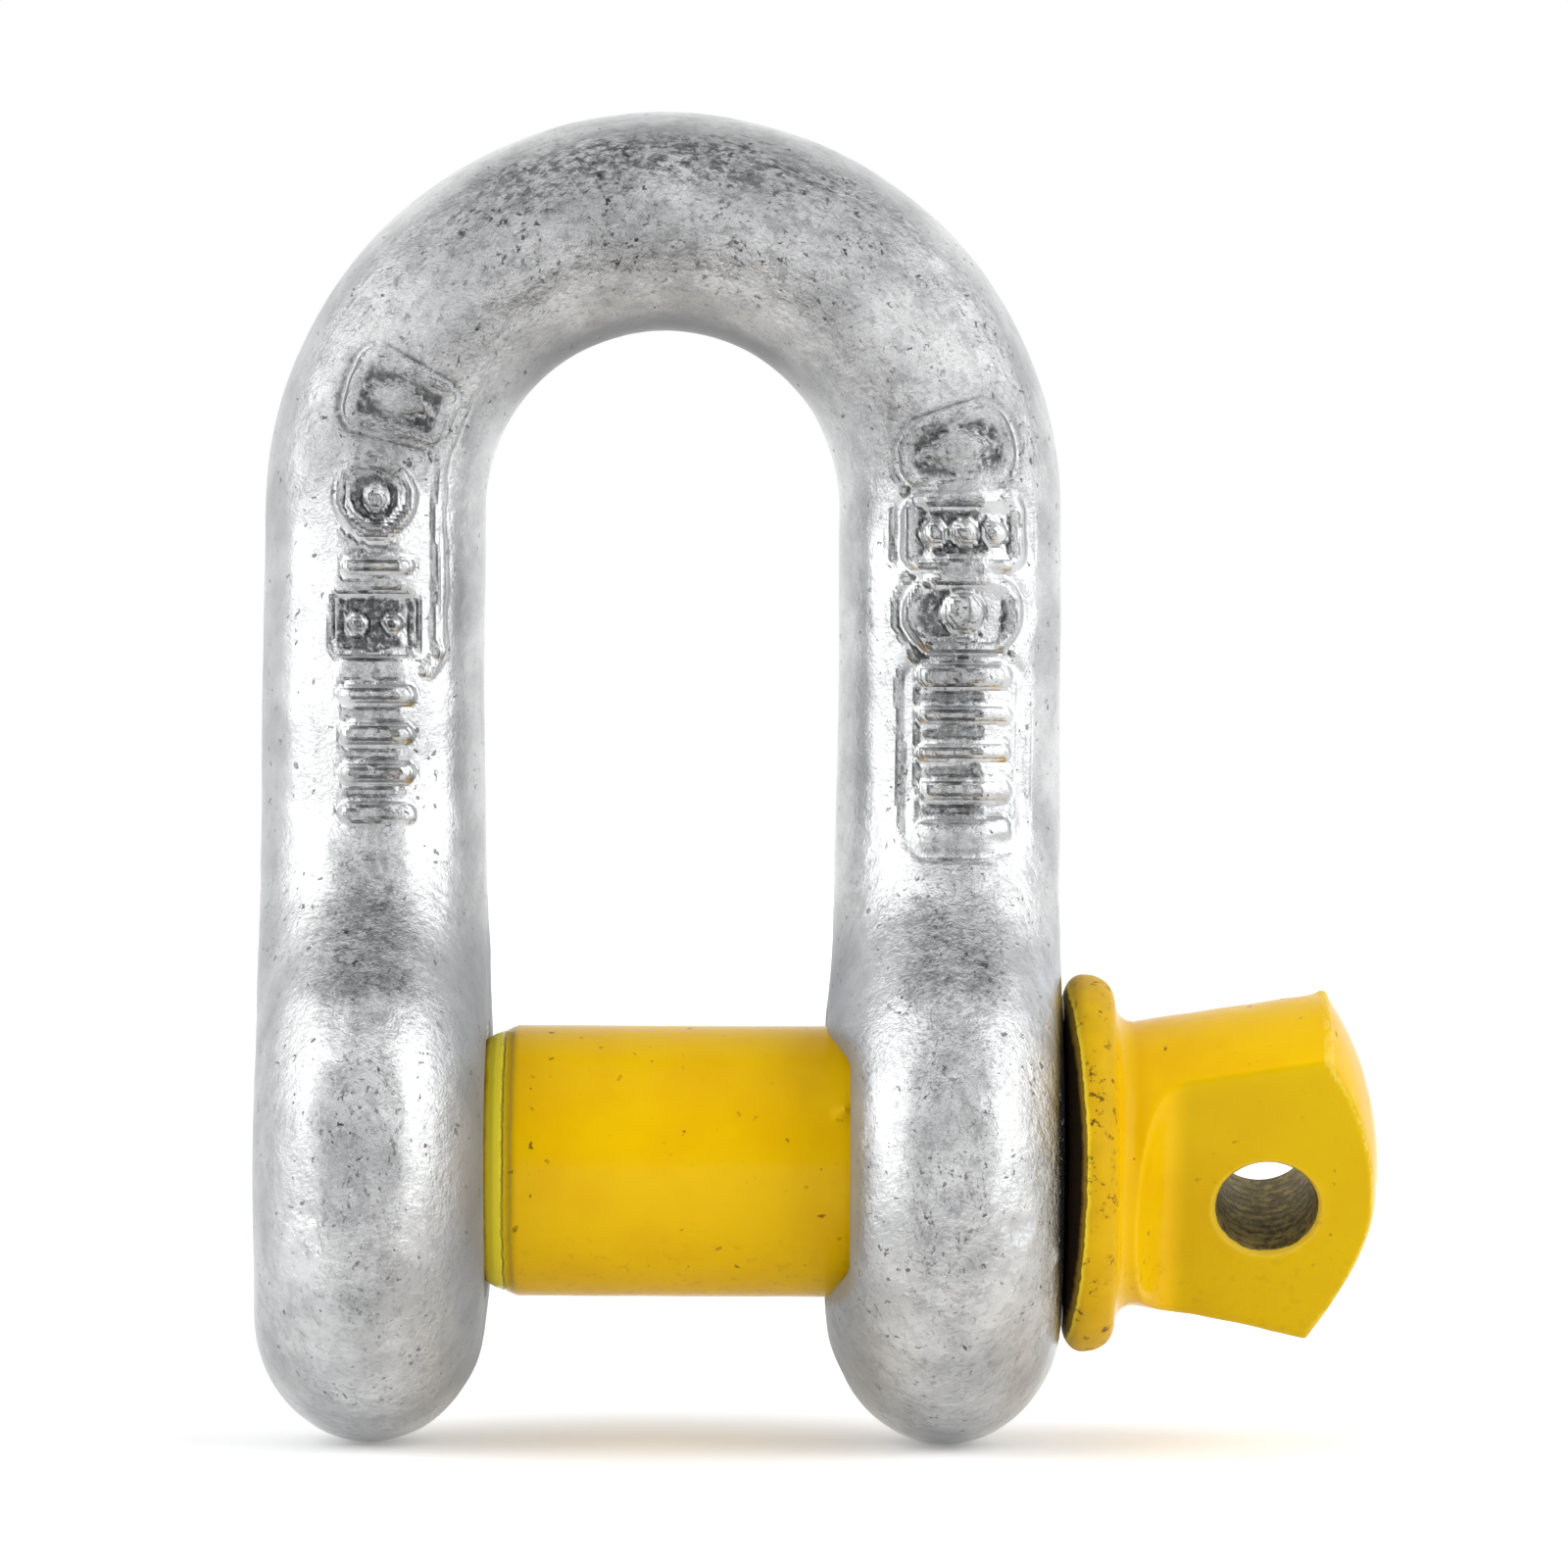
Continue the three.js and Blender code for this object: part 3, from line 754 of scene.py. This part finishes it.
def pin_relief(grid, x):
    """What paint, beads, nicks and the drill's burr add to the pin's smooth surface."""
    head = smooth(x, COLLAR_X - 1, COLLAR_X)
    high = sum((height + added * head) * lumps(grid, size, seed)
               for seed, size, height, added in PAINT_LUMPS)
    from_hole = np.hypot(grid[..., 0] - WIRE_HOLE_X, grid[..., 2] + WIRE_HOLE_DROP) - WIRE_HOLE_R
    burr = np.exp(-(((from_hole - HOLE_BURR_FROM) / HOLE_BURR_WIDE) ** 2))
    burr = burr * (1.2 + 2 * lumps(grid, 1.1, seed=9))
    high += HOLE_BURR_HIGH * burr * (np.abs(grid[..., 1]) > TONGUE_HALF - 0.6)
    turn = Matrix.Rotation(-HEAD_TURN, 3, "X")
    for *place, radius, height in PAINT_BEADS:
        away = np.linalg.norm(grid - np.array(turn @ Vector(place)), axis=-1)
        high += height * np.exp(-((away / radius) ** 2))
    return np.where(x > TAPPED_INNER_X, high, 0)


def lean_head(grid):
    """Leans the head's top and bottom, as they are once the pin is turned, out of true."""
    world_z = grid[..., 2] * math.cos(HEAD_TURN) + grid[..., 1] * math.sin(HEAD_TURN)
    lean = HEAD_TOP_LEAN * smooth(world_z, 3, 10) - HEAD_LOW_LEAN * smooth(-world_z, 3, 10)
    grid[..., 0] += lean * smooth(grid[..., 0], RUNOUT_END_X, HEAD_EDGE_X)
    grid[..., 2] -= HEAD_FLARE * smooth(grid[..., 0], HEAD_FLARE_X, HEAD_EDGE_X) * smooth(-world_z, 5, 10)
    grid[..., 0] = np.clip(grid[..., 0], PIN_LOW.x, PIN_HIGH.x - INSIDE_BOX)


def cut_wire_hole(pin):
    """The hole through the head's flats, with rounded lips."""
    half = TONGUE_HALF
    xs = [-HOLE_CUT_HALF, -half - HOLE_LIP, -half, -half + HOLE_LIP]
    xs += [-x for x in reversed(xs)]
    wide = WIRE_HOLE_R + HOLE_LIP * 1.6
    radii = [wide, wide, WIRE_HOLE_R + HOLE_LIP * 0.7, WIRE_HOLE_R]
    cutter = turned_cutter("wire_hole", xs, radii + radii[::-1], HOLE_COLUMNS)
    place = Matrix.Translation(Vector((WIRE_HOLE_X, 0, -WIRE_HOLE_DROP)) * MM)
    cutter.data.transform(place @ Matrix.Rotation(math.pi / 2, 4, "Z"))
    cut(pin, cutter)


def make_pin():
    """The pin, made with its flats upright and then turned as it stands in the photo."""
    outline = resampled(pin_outline(), pin_step)
    x, r = outline[:, :1], outline[:, 1:]
    # angle 0 is the middle of the front flat, which faces -Y before the pin is turned
    angle = np.linspace(0, 2 * math.pi, PIN_COLUMNS, endpoint=False)
    flat = flat_half(x) / np.maximum(np.abs(np.cos(angle)), 1e-6)
    rho = soft_min(r * np.ones_like(angle), flat, FLAT_EDGE_ROUNDING)
    root = PIN_ROOT_R - 0.3
    threaded = (x < TAPPED_INNER_X - 0.4) & (r > root)
    groove = r - (PIN_CREST_R - PIN_ROOT_R) * (1 - thread_height(x, angle))
    rho = np.where(threaded, np.minimum(rho, np.maximum(groove, root)), rho)
    grid = np.stack([x * np.ones_like(rho), -rho * np.cos(angle), -rho * np.sin(angle)], -1)
    grid = grid + grid_normals(grid) * pin_relief(grid, x)[..., None]
    lean_head(grid)
    ends = [(PIN_LOW.x, 0, 0), (PIN_HIGH.x, 0, 0)]
    pin = grid_object("painted_pin", grid, *ends)
    on_dome = (x > HEAD_EDGE_X) & (np.abs(flat - r) < 0.3)
    edge = on_dome | ((np.abs(x - HEAD_EDGE_X) < 0.25) & (flat > r))
    store(pin, "edge", np.concatenate([edge.astype(float).ravel(), [0, 0]]))
    cut_wire_hole(pin)
    pin.data.transform(Matrix.Rotation(HEAD_TURN, 4, "X"))
    return pin


# ---- materials ----


class Web:
    """A material's or a world's nodes, added one by one, each fed with values or other nodes."""

    def __init__(self, tree):
        self.nodes, self.links = tree.nodes, tree.links

    def feed(self, socket, source):
        if isinstance(source, bpy.types.NodeSocket):
            self.links.new(source, socket)
        elif socket.type == "RGBA":
            socket.default_value = (*source, 1)
        else:
            socket.default_value = source

    def add(self, kind, *sources, **settings):
        node = self.nodes.new("ShaderNode" + kind)
        for name, value in settings.items():
            setattr(node, name, value)
        for socket, source in zip(node.inputs, sources):
            if source is not None:
                self.feed(socket, source)
        return node

    def math(self, operation, *sources):
        return self.add("Math", *sources, operation=operation).outputs[0]

    def times(self, a, b):
        return self.math("MULTIPLY", a, b)

    def plus(self, a, b):
        return self.math("ADD", a, b)

    def minus(self, a, b):
        return self.math("SUBTRACT", a, b)

    def reach(self, a, b):
        """How far a place is from an axis, from its two distances across it."""
        return self.math("SQRT", self.plus(self.times(a, a), self.times(b, b)))

    def attribute(self, name, output="Fac"):
        return self.add("Attribute", attribute_name=name).outputs[output]

    def noise(self, place, size, detail=3.0, rough=0.55, twist=0.0):
        """Noise from 0 to 1, with features about size millimetres across."""
        node = self.add("TexNoise")
        for name, source in (("Vector", place), ("Scale", 1 / size), ("Detail", detail),
                             ("Roughness", rough), ("Distortion", twist)):
            self.feed(node.inputs[name], source)
        return node.outputs[0]

    def step(self, value, low, high):
        """0 below low and 1 above high, or the other way round where low is above high."""
        node = self.add("MapRange", interpolation_type="SMOOTHSTEP")
        ends = (low, high, 0.0, 1.0) if low < high else (high, low, 1.0, 0.0)
        for socket, source in zip(node.inputs, (value, *ends)):
            self.feed(socket, source)
        return node.outputs[0]

    def between(self, share, a, b):
        """A number from a to b."""
        node = self.add("Mix", data_type="FLOAT")
        for socket, source in zip((node.inputs[0], node.inputs[2], node.inputs[3]), (share, a, b)):
            self.feed(socket, source)
        return node.outputs[0]

    def tint(self, share, a, b, blend="MIX"):
        """A colour from a to b."""
        node = self.add("Mix", data_type="RGBA", blend_type=blend)
        for socket, source in zip((node.inputs[0], node.inputs[6], node.inputs[7]), (share, a, b)):
            self.feed(socket, source)
        return node.outputs[2]

    def coat(self, colour, shade, where, share=None):
        """A colour with a shade laid over it, by where it lies and the most of it that shows."""
        return self.tint(where if share is None else self.times(where, share), colour, shade)

    def ragged(self, place, scale, shift):
        """Places moved about at random, so that round spots there come out ragged."""
        jitter = self.add("TexNoise", place, None, scale).outputs["Color"]
        moved = self.add("VectorMath", jitter, (shift,) * 3, place, operation="MULTIPLY_ADD")
        return moved.outputs[0]

    def spots(self, place, size, share, radius):
        """Round spots of random sizes in some of the cells of a pattern with cells size across."""
        node = self.add("TexVoronoi")
        self.feed(node.inputs["Vector"], place)
        self.feed(node.inputs["Scale"], 1 / size)
        chosen = self.add("SeparateColor", node.outputs["Color"])
        reach = self.times(self.step(chosen.outputs[0], 1 - share, 1), radius)
        return self.step(self.minus(reach, node.outputs["Distance"]), 0, radius * 0.35)

    def bump(self, height, depth, under=None):
        """Relief of a 0 to 1 height, depth millimetres deep."""
        node = self.add("Bump")
        self.feed(node.inputs["Height"], height)
        self.feed(node.inputs["Distance"], depth * MM)
        if under is not None:
            self.feed(node.inputs["Normal"], under)
        return node.outputs[0]


def new_material(name):
    """A material with its web, its shader's inputs, and places on the piece in millimetres."""
    material = bpy.data.materials.new(name)
    material.use_nodes = True
    web = Web(material.node_tree)
    shader = web.nodes["Principled BSDF"].inputs
    place = web.add("TexCoord").outputs["Object"]
    millimetres = web.add("VectorMath", place, operation="SCALE")
    millimetres.inputs["Scale"].default_value = 1 / MM
    return material, web, shader, millimetres.outputs[0]


ZINC_LIGHT = (0.66, 0.665, 0.67)
ZINC_GREY = (0.44, 0.445, 0.45)
ZINC_MATT_SHADE = (0.22, 0.225, 0.235)
ZINC_AGAINST_YELLOW_REFLECTION = (0.92, 0.96, 1.0)
ZINC_DARK = (0.13, 0.13, 0.135)
ZINC_PORE_AND_SHADE = (0.06, 0.06, 0.062)
DIRT = (0.03, 0.029, 0.028)
ZINC_SPECULAR = 0.08


def galvanised():
    """Hot-dip zinc, darker and coarser where the body's attributes say so, with painted shade on the
    bar's inside, by the pin and down the legs' fronts.
    """
    material, web, shader, place = new_material("galvanised_steel")
    coarse, sunk, inner_shade, matt_and_shade, crown, by_pin, painted_shade = (
        web.attribute(name) for name in ("coarse", "sunk", "inner_shade", "matt_and_shade", "crown", "by_pin", "painted_shade"))
    flow = web.attribute("flow", "Vector")
    cloud = web.noise(place, size=4.5, rough=0.6)
    blot = web.noise(flow, size=0.9, detail=8.0, rough=0.75, twist=0.2)
    grain = web.noise(place, size=0.42, detail=5.0, rough=0.7)
    grit = web.noise(place, size=0.2, rough=0.6)
    crust = web.noise(place, size=0.8, detail=4.0, rough=0.6)
    streak = web.noise(flow, size=0.36, detail=5.0, rough=0.7, twist=0.2)
    spread = web.step(web.noise(flow, size=1.7, detail=5.0, rough=0.7), 0.44, 0.56)

    colour = web.tint(web.step(cloud, 0.3, 0.7), ZINC_GREY, ZINC_LIGHT)
    colour = web.coat(colour, ZINC_DARK, coarse, 0.3)
    dark = web.times(web.step(blot, 0.52, 0.4), web.between(coarse, 0.08, 0.4))
    colour = web.coat(colour, ZINC_DARK, dark)
    # painted shade down the legs' fronts and at their shoulders, broken up in patches
    shade_breakup = web.between(web.step(blot, 0.6, 0.42), 0.45, 1.0)
    colour = web.coat(colour, ZINC_PORE_AND_SHADE, web.times(painted_shade, shade_breakup), 0.62)
    pores = web.times(web.step(streak, 0.44, 0.39), web.between(coarse, 0.1, 1.0))
    colour = web.coat(colour, ZINC_PORE_AND_SHADE, pores, web.between(spread, 0.15, 0.9))
    stained = web.times(crown, web.step(streak, 0.56, 0.42))
    colour = web.coat(colour, ZINC_PORE_AND_SHADE, stained, 0.75)
    spots = web.spots(web.ragged(place, scale=2.5, shift=0.9), size=0.55, share=0.6, radius=0.3)
    pits = web.times(spots, web.between(spread, 0.12, 1.0))
    colour = web.coat(colour, DIRT, pits, web.between(coarse, 0.6, 0.95))
    dirty = web.step(web.noise(place, size=0.4, detail=6.0, rough=0.75), 0.34, 0.54)
    dirty = web.times(web.step(sunk, 0.2, 0.6), dirty)
    dirty = web.times(dirty, web.between(web.step(coarse, 0.15, 0.5), 0.15, 0.95))
    colour = web.coat(colour, ZINC_PORE_AND_SHADE, dirty)
    # painted shade on the inside of the bow and legs
    colour = web.coat(colour, ZINC_DARK, inner_shade, 0.85)
    # painted shade, with a duller finish, round the pin and on the left eye's outer edge
    colour = web.coat(colour, ZINC_MATT_SHADE, matt_and_shade, 0.72)
    # a cool tint by the pin, painted against the yellow light the zinc reflects from it
    colour = web.tint(by_pin, colour, ZINC_AGAINST_YELLOW_REFLECTION, "MULTIPLY")
    web.feed(shader["Base Color"], colour)
    mirror = web.times(web.between(matt_and_shade, 1.0, 0.55), web.between(inner_shade, 1.0, 0.0))
    web.feed(shader["Metallic"], mirror)
    web.feed(shader["Specular IOR Level"], ZINC_SPECULAR)
    dull = web.between(web.noise(place, size=1.6, detail=4.0), 0.15, 0.27)
    dull = web.plus(dull, web.times(dark, 0.15))
    dull = web.plus(dull, web.times(inner_shade, 0.15))
    web.feed(shader["Roughness"], web.between(matt_and_shade, dull, 0.5))

    relief = web.bump(web.times(crust, coarse), depth=0.4)
    relief = web.bump(web.times(grain, web.between(coarse, 0.06, 1.0)), 0.3, relief)
    relief = web.bump(web.noise(place, size=1.3, rough=0.6), 0.05, relief)
    relief = web.bump(web.times(grit, web.between(coarse, 0.3, 1.0)), 0.05, relief)
    relief = web.bump(web.minus(1.0, pits), 0.1, relief)
    web.feed(shader["Normal"], relief)
    return material


PAINT = (0.70, 0.425, 0.0004)
PAINT_WARM = (0.67, 0.385, 0.0004)
PAINT_OLIVE = (0.46, 0.33, 0.001)
PAINT_PALE = (0.72, 0.52, 0.08)
PAINT_HIGHLIGHT = (1.0, 0.87, 0.06)
PAINT_DULL = (0.42, 0.25, 0.006)
RUST_AND_SHADOW = (0.09, 0.035, 0.006)
SCUFF = (0.11, 0.045, 0.007)
GAP_SHADOW_COLOUR = (0.012, 0.006, 0.002)
OIL_GREEN = (0.26, 0.24, 0.07)
BARE_STEEL = (0.30, 0.23, 0.075)
BARE_DARK = (0.045, 0.032, 0.01)
THREAD_STEEL = (0.36, 0.34, 0.3)
THREAD_DARK = (0.14, 0.125, 0.1)
PAINT_SPECULAR = 0.09
HOLE_COLOURS_X = (30, 31)  # along the pin, where the wire hole's own colours begin

# bands of colour round the taper: start and stop from its wide end, softness, share, colour; the bright
# band is a painted highlight, the two dark bands are painted shadow by the eye and in the groove, and the
# olive line is worn paint
TAPER_BANDS = [
    (-1.72, -0.6, 0.12, 0.8, PAINT_HIGHLIGHT),
    (-2.4, -1.84, 0.08, 0.75, RUST_AND_SHADOW),
    (-0.84, -0.7, 0.06, 0.7, RUST_AND_SHADOW),
    (-0.38, -0.2, 0.09, 0.5, OIL_GREEN),
]


def collar_wear_and_shadow(web, colour, place, x, radius, wobble):
    """The collar's dull and scuffed rim, and painted shadow in the gap where it meets the eye, with a
    painted highlight beside it.
    """
    around = web.times(web.step(x, COLLAR_X - 0.3, COLLAR_X),
                       web.step(x, COLLAR_X + COLLAR_THICK + 0.4, COLLAR_X + COLLAR_THICK - 0.6))
    rim = web.times(around, web.step(radius, NECK_R + 0.8, COLLAR_R - 0.5))
    dulled = web.between(web.noise(place, size=1.8, detail=4.0), 0.15, 0.8)
    colour = web.coat(colour, PAINT_DULL, rim, dulled)
    patchy = web.step(web.noise(place, size=2.2), 0.42, 0.6)
    scuffs = web.times(web.step(web.noise(place, size=0.7, detail=5.0, rough=0.7), 0.44, 0.38), patchy)
    scuffs = web.times(scuffs, rim)
    colour = web.coat(colour, SCUFF, scuffs, 0.9)
    # the painted shadow of the gap comes furthest over the rim at the front and back, and least above and
    # below
    facing = web.math("DIVIDE", web.add("SeparateXYZ", place).outputs["Y"], radius)
    gap_x = web.minus(web.plus(x, web.times(wobble, 0.4)), web.times(web.times(facing, facing), 0.95))
    left = web.step(x, COLLAR_X - 1.5, COLLAR_X - 1.1)
    # painted highlight along the collar's rim, just outside the painted shade
    rim_highlight = web.times(web.step(gap_x, COLLAR_X + 0.4, COLLAR_X + 0.2), left)
    colour = web.coat(colour, PAINT_HIGHLIGHT, rim_highlight, 0.35)
    # painted shade on the collar's fillet next to the eye
    fillet_shade = web.times(web.step(gap_x, COLLAR_X + 0.17, COLLAR_X + 0.1), left)
    colour = web.coat(colour, RUST_AND_SHADOW, fillet_shade, 0.85)
    # painted shadow in the gap between the collar and the eye
    gap_shadow = web.times(web.step(gap_x, COLLAR_X, COLLAR_X - 0.25), left)
    return web.coat(colour, GAP_SHADOW_COLOUR, gap_shadow), rim, scuffs, gap_shadow


def paint():
    """Glossy yellow paint, chipped and grubby, with bare steel in the wire hole and oily thread, and
    painted shadow, shade and highlights at the collar, the taper and the head.
    """
    material, web, shader, place = new_material("yellow_paint")
    # x is along the pin, n square to the head's flats and w up them, as before the pin is turned
    untwist = web.add("VectorRotate", rotation_type="X_AXIS")
    web.feed(untwist.inputs["Vector"], place)
    web.feed(untwist.inputs["Angle"], -HEAD_TURN)
    x, n, w = web.add("SeparateXYZ", untwist.outputs[0]).outputs
    radius = web.reach(n, w)
    wobble = web.times(web.minus(web.noise(place, size=0.9, detail=4.0, rough=0.65), 0.5), 0.7)

    colour = web.tint(web.step(web.noise(place, size=5.0), 0.35, 0.65), PAINT, PAINT_WARM)
    ragged = web.ragged(place, scale=2.2, shift=0.8)
    thick = web.step(web.noise(place, size=3.0), 0.4, 0.6)
    specks = web.times(web.spots(ragged, size=1.0, share=0.5, radius=0.2), web.between(thick, 0.3, 1.0))
    dust = web.times(web.spots(ragged, size=0.6, share=0.55, radius=0.18), web.between(thick, 0.3, 0.8))
    colour = web.coat(colour, RUST_AND_SHADOW, specks, 0.75)
    colour = web.coat(colour, PAINT_DULL, dust, 0.6)
    low_side = web.step(web.add("SeparateXYZ", place).outputs["Z"], -2, -7)
    # darker, duller patches on the pin's lower side
    low_side_patches = web.times(low_side, web.step(web.noise(place, size=0.7, detail=6.0, rough=0.75), 0.46, 0.36))
    colour = web.coat(colour, PAINT_DULL, low_side_patches, 0.4)
    colour, rim, scuffs, gap_shadow = collar_wear_and_shadow(web, colour, place, x, radius, wobble)

    across = web.math("ABSOLUTE", n)
    # painted shade: the head's flats, which face down, are darkened toward olive
    shaded_flats = web.times(web.step(across, TONGUE_HALF + 0.5, TONGUE_HALF + 0.1),
                      web.step(across, TONGUE_HALF - 0.4, TONGUE_HALF - 0.2))
    shaded_flats = web.times(shaded_flats, web.step(x, RUNOUT_START_X + 2, RUNOUT_END_X))
    colour = web.coat(colour, PAINT_OLIVE, shaded_flats, 0.5)

    shaky_x = web.plus(x, web.times(wobble, 0.4))
    # the taper's bands, painted highlight and painted shadow among them
    for start, stop, soft, share, shade in TAPER_BANDS:
        low, high = TAPER_END_X + start, TAPER_END_X + stop
        band = web.times(web.step(shaky_x, low - soft, low + soft),
                         web.step(shaky_x, high + soft, high - soft))
        colour = web.coat(colour, shade, band, share)

    edge = web.attribute("edge")
    # the pale paint along the dome's edges is partly wear and partly a painted highlight
    pale_edge = web.times(edge, web.step(web.noise(place, size=0.8, detail=4.0, rough=0.7), 0.42, 0.6))
    colour = web.coat(colour, PAINT_PALE, pale_edge, 0.7)
    nicks = web.times(edge, web.step(web.noise(place, size=0.3, rough=0.7), 0.38, 0.3))
    colour = web.coat(colour, OIL_GREEN, nicks)

    from_hole = web.reach(web.minus(x, WIRE_HOLE_X), web.plus(w, WIRE_HOLE_DROP))
    from_hole = web.minus(web.plus(from_hole, web.times(wobble, 0.25)), WIRE_HOLE_R)
    on_head = web.step(x, *HOLE_COLOURS_X)
    bore = web.times(web.step(from_hole, 0.12, 0.06), on_head)
    colour = web.coat(colour, PAINT_PALE, web.times(web.step(from_hole, 0.55, 0.2), on_head), 0.35)
    thread = web.step(x, TAPPED_INNER_X, TAPPED_INNER_X - 0.15)
    rings = web.math("SINE", web.times(web.plus(n, web.times(wobble, 1.2)), 9.0))
    stains = web.times(web.minus(web.noise(place, size=0.7, detail=6.0, rough=0.75), 0.5), 13.0)
    rings = web.step(web.plus(web.times(rings, 0.6), stains), -1.8, 2.0)
    steel = web.tint(web.between(rings, 0.2, 1.0), BARE_DARK, BARE_STEEL)
    oily = web.step(web.noise(place, size=1.2, detail=5.0, rough=0.65), 0.35, 0.65)
    oily = web.tint(oily, THREAD_DARK, THREAD_STEEL)
    colour = web.coat(web.coat(colour, steel, bore), oily, thread)
    web.feed(shader["Base Color"], colour)
    bare = web.math("MAXIMUM", bore, thread)
    web.feed(shader["Metallic"], web.times(bare, 0.65))
    gloss = web.between(web.noise(place, size=2.0), 0.14, 0.24)
    gloss = web.between(web.math("MAXIMUM", rim, pale_edge), gloss, 0.5)
    gloss = web.between(gap_shadow, gloss, 0.9)
    web.feed(shader["Roughness"], web.between(bare, gloss, 0.42))
    web.feed(shader["Specular IOR Level"], PAINT_SPECULAR)
    relief = web.bump(web.noise(place, size=1.4), depth=0.03)
    relief = web.bump(web.minus(1.0, web.math("MAXIMUM", specks, scuffs)), 0.04, relief)
    relief = web.bump(web.times(rings, bore), 0.05, relief)
    web.feed(shader["Normal"], relief)
    return material


# ---- stage, light and camera ----

FLOOR_R = 3000
FLOOR_POINTS = 96
PALE = (0.93, 0.93, 0.93)
WHITE = (1, 1, 1)
FLOOR_GLOW = 0.15


def make_floor():
    """A pale disc that the eyes stand on."""
    angle = np.linspace(0, 2 * math.pi, FLOOR_POINTS, endpoint=False)
    level = np.full(FLOOR_POINTS, BODY_LOW.z)
    rim = np.stack([FLOOR_R * np.cos(angle), FLOOR_R * np.sin(angle), level], -1)
    mesh = bpy.data.meshes.new("floor")
    mesh.from_pydata((rim * MM).tolist(), [], [list(range(FLOOR_POINTS))])
    floor = new_object("floor", mesh)
    material, web, shader, place = new_material("floor_white")
    shade = web.between(web.noise(place, size=400.0, detail=2.0), 0.985, 1.0)
    web.feed(shader["Base Color"], web.tint(shade, (0, 0, 0), PALE))
    web.feed(shader["Emission Color"], WHITE)
    web.feed(shader["Emission Strength"], FLOOR_GLOW)
    web.feed(shader["Roughness"], 0.9)
    web.feed(shader["Specular IOR Level"], 0.0)
    mesh.materials.append(material)


CAMERA_SIDE_LIGHT = 0.2
TOP_LIGHT = 0.72
BACK_LIGHT = 1.15
SOFTBOX_LIGHT = 2.8
# degrees round from the camera, and up from level, over which one light gives way to another
SOFTBOX_SIDES = (22, 33), (100, 84)
SOFTBOX_ENDS = (-38, -24), (62, 44)
BACK_SIDES = (60, 120)
TOP_RISE = (25, 75)


def make_world():
    """White paper behind, two tall softboxes at the sides, and a darker room by the camera."""
    world = bpy.data.worlds.new("studio")
    bpy.context.scene.world = world
    world.use_nodes = True
    web = Web(world.node_tree)
    web.nodes.clear()
    way = web.add("SeparateXYZ", web.add("TexCoord").outputs["Generated"]).outputs
    side = web.math("ABSOLUTE", web.math("ARCTAN2", way["X"], web.times(way["Y"], -1.0)))
    side = web.math("DEGREES", side)
    rise = web.math("DEGREES", web.math("ARCSINE", way["Z"]))
    level = web.between(web.step(side, *BACK_SIDES), CAMERA_SIDE_LIGHT, BACK_LIGHT)
    level = web.between(web.step(rise, *TOP_RISE), level, TOP_LIGHT)
    wide, tall = (web.times(web.step(angle, *near), web.step(angle, *far))
                  for angle, (near, far) in ((side, SOFTBOX_SIDES), (rise, SOFTBOX_ENDS)))
    box = web.times(wide, tall)
    level = web.between(box, level, SOFTBOX_LIGHT)
    room = web.add("Background", WHITE, level).outputs[0]
    paper = web.add("Background", WHITE, 1.0).outputs[0]
    seen = web.add("LightPath").outputs["Is Camera Ray"]
    both = web.add("MixShader", seen, room, paper).outputs[0]
    web.add("OutputWorld", both)


CAMERA_X = 7.16
CAMERA_Z = 22.3
CAMERA_DISTANCE = 480
CAMERA_ROLL = -0.0045
SENSOR_WIDTH = 36
FRAME_WIDTH = 92.65  # millimetres seen across the frame, at the shackle's middle plane


def make_camera():
    """A long lens, level and square to the front, with the photo's slight roll."""
    data = bpy.data.cameras.new("camera")
    data.sensor_width = SENSOR_WIDTH
    data.lens = SENSOR_WIDTH * CAMERA_DISTANCE / FRAME_WIDTH
    data.clip_start = 0.01
    data.clip_end = 20
    camera = new_object("camera", data)
    camera.location = Vector((CAMERA_X, -CAMERA_DISTANCE, CAMERA_Z)) * MM
    camera.rotation_euler = (math.pi / 2, CAMERA_ROLL, 0)
    bpy.context.scene.camera = camera


make_camera()
make_world()
make_floor()
bpy.context.scene.view_settings.view_transform = "Standard"

body = make_body()
body.data.materials.append(galvanised())
pin = make_pin()
pin.data.materials.append(paint())
for piece in (body, pin):
    piece.data.shade_smooth()
    piece.data.set_sharp_from_angle(angle=SHARP_ANGLE)

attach(body, "bow")
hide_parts("shackle_body")
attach(pin, "pin")
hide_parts("screw_pin")
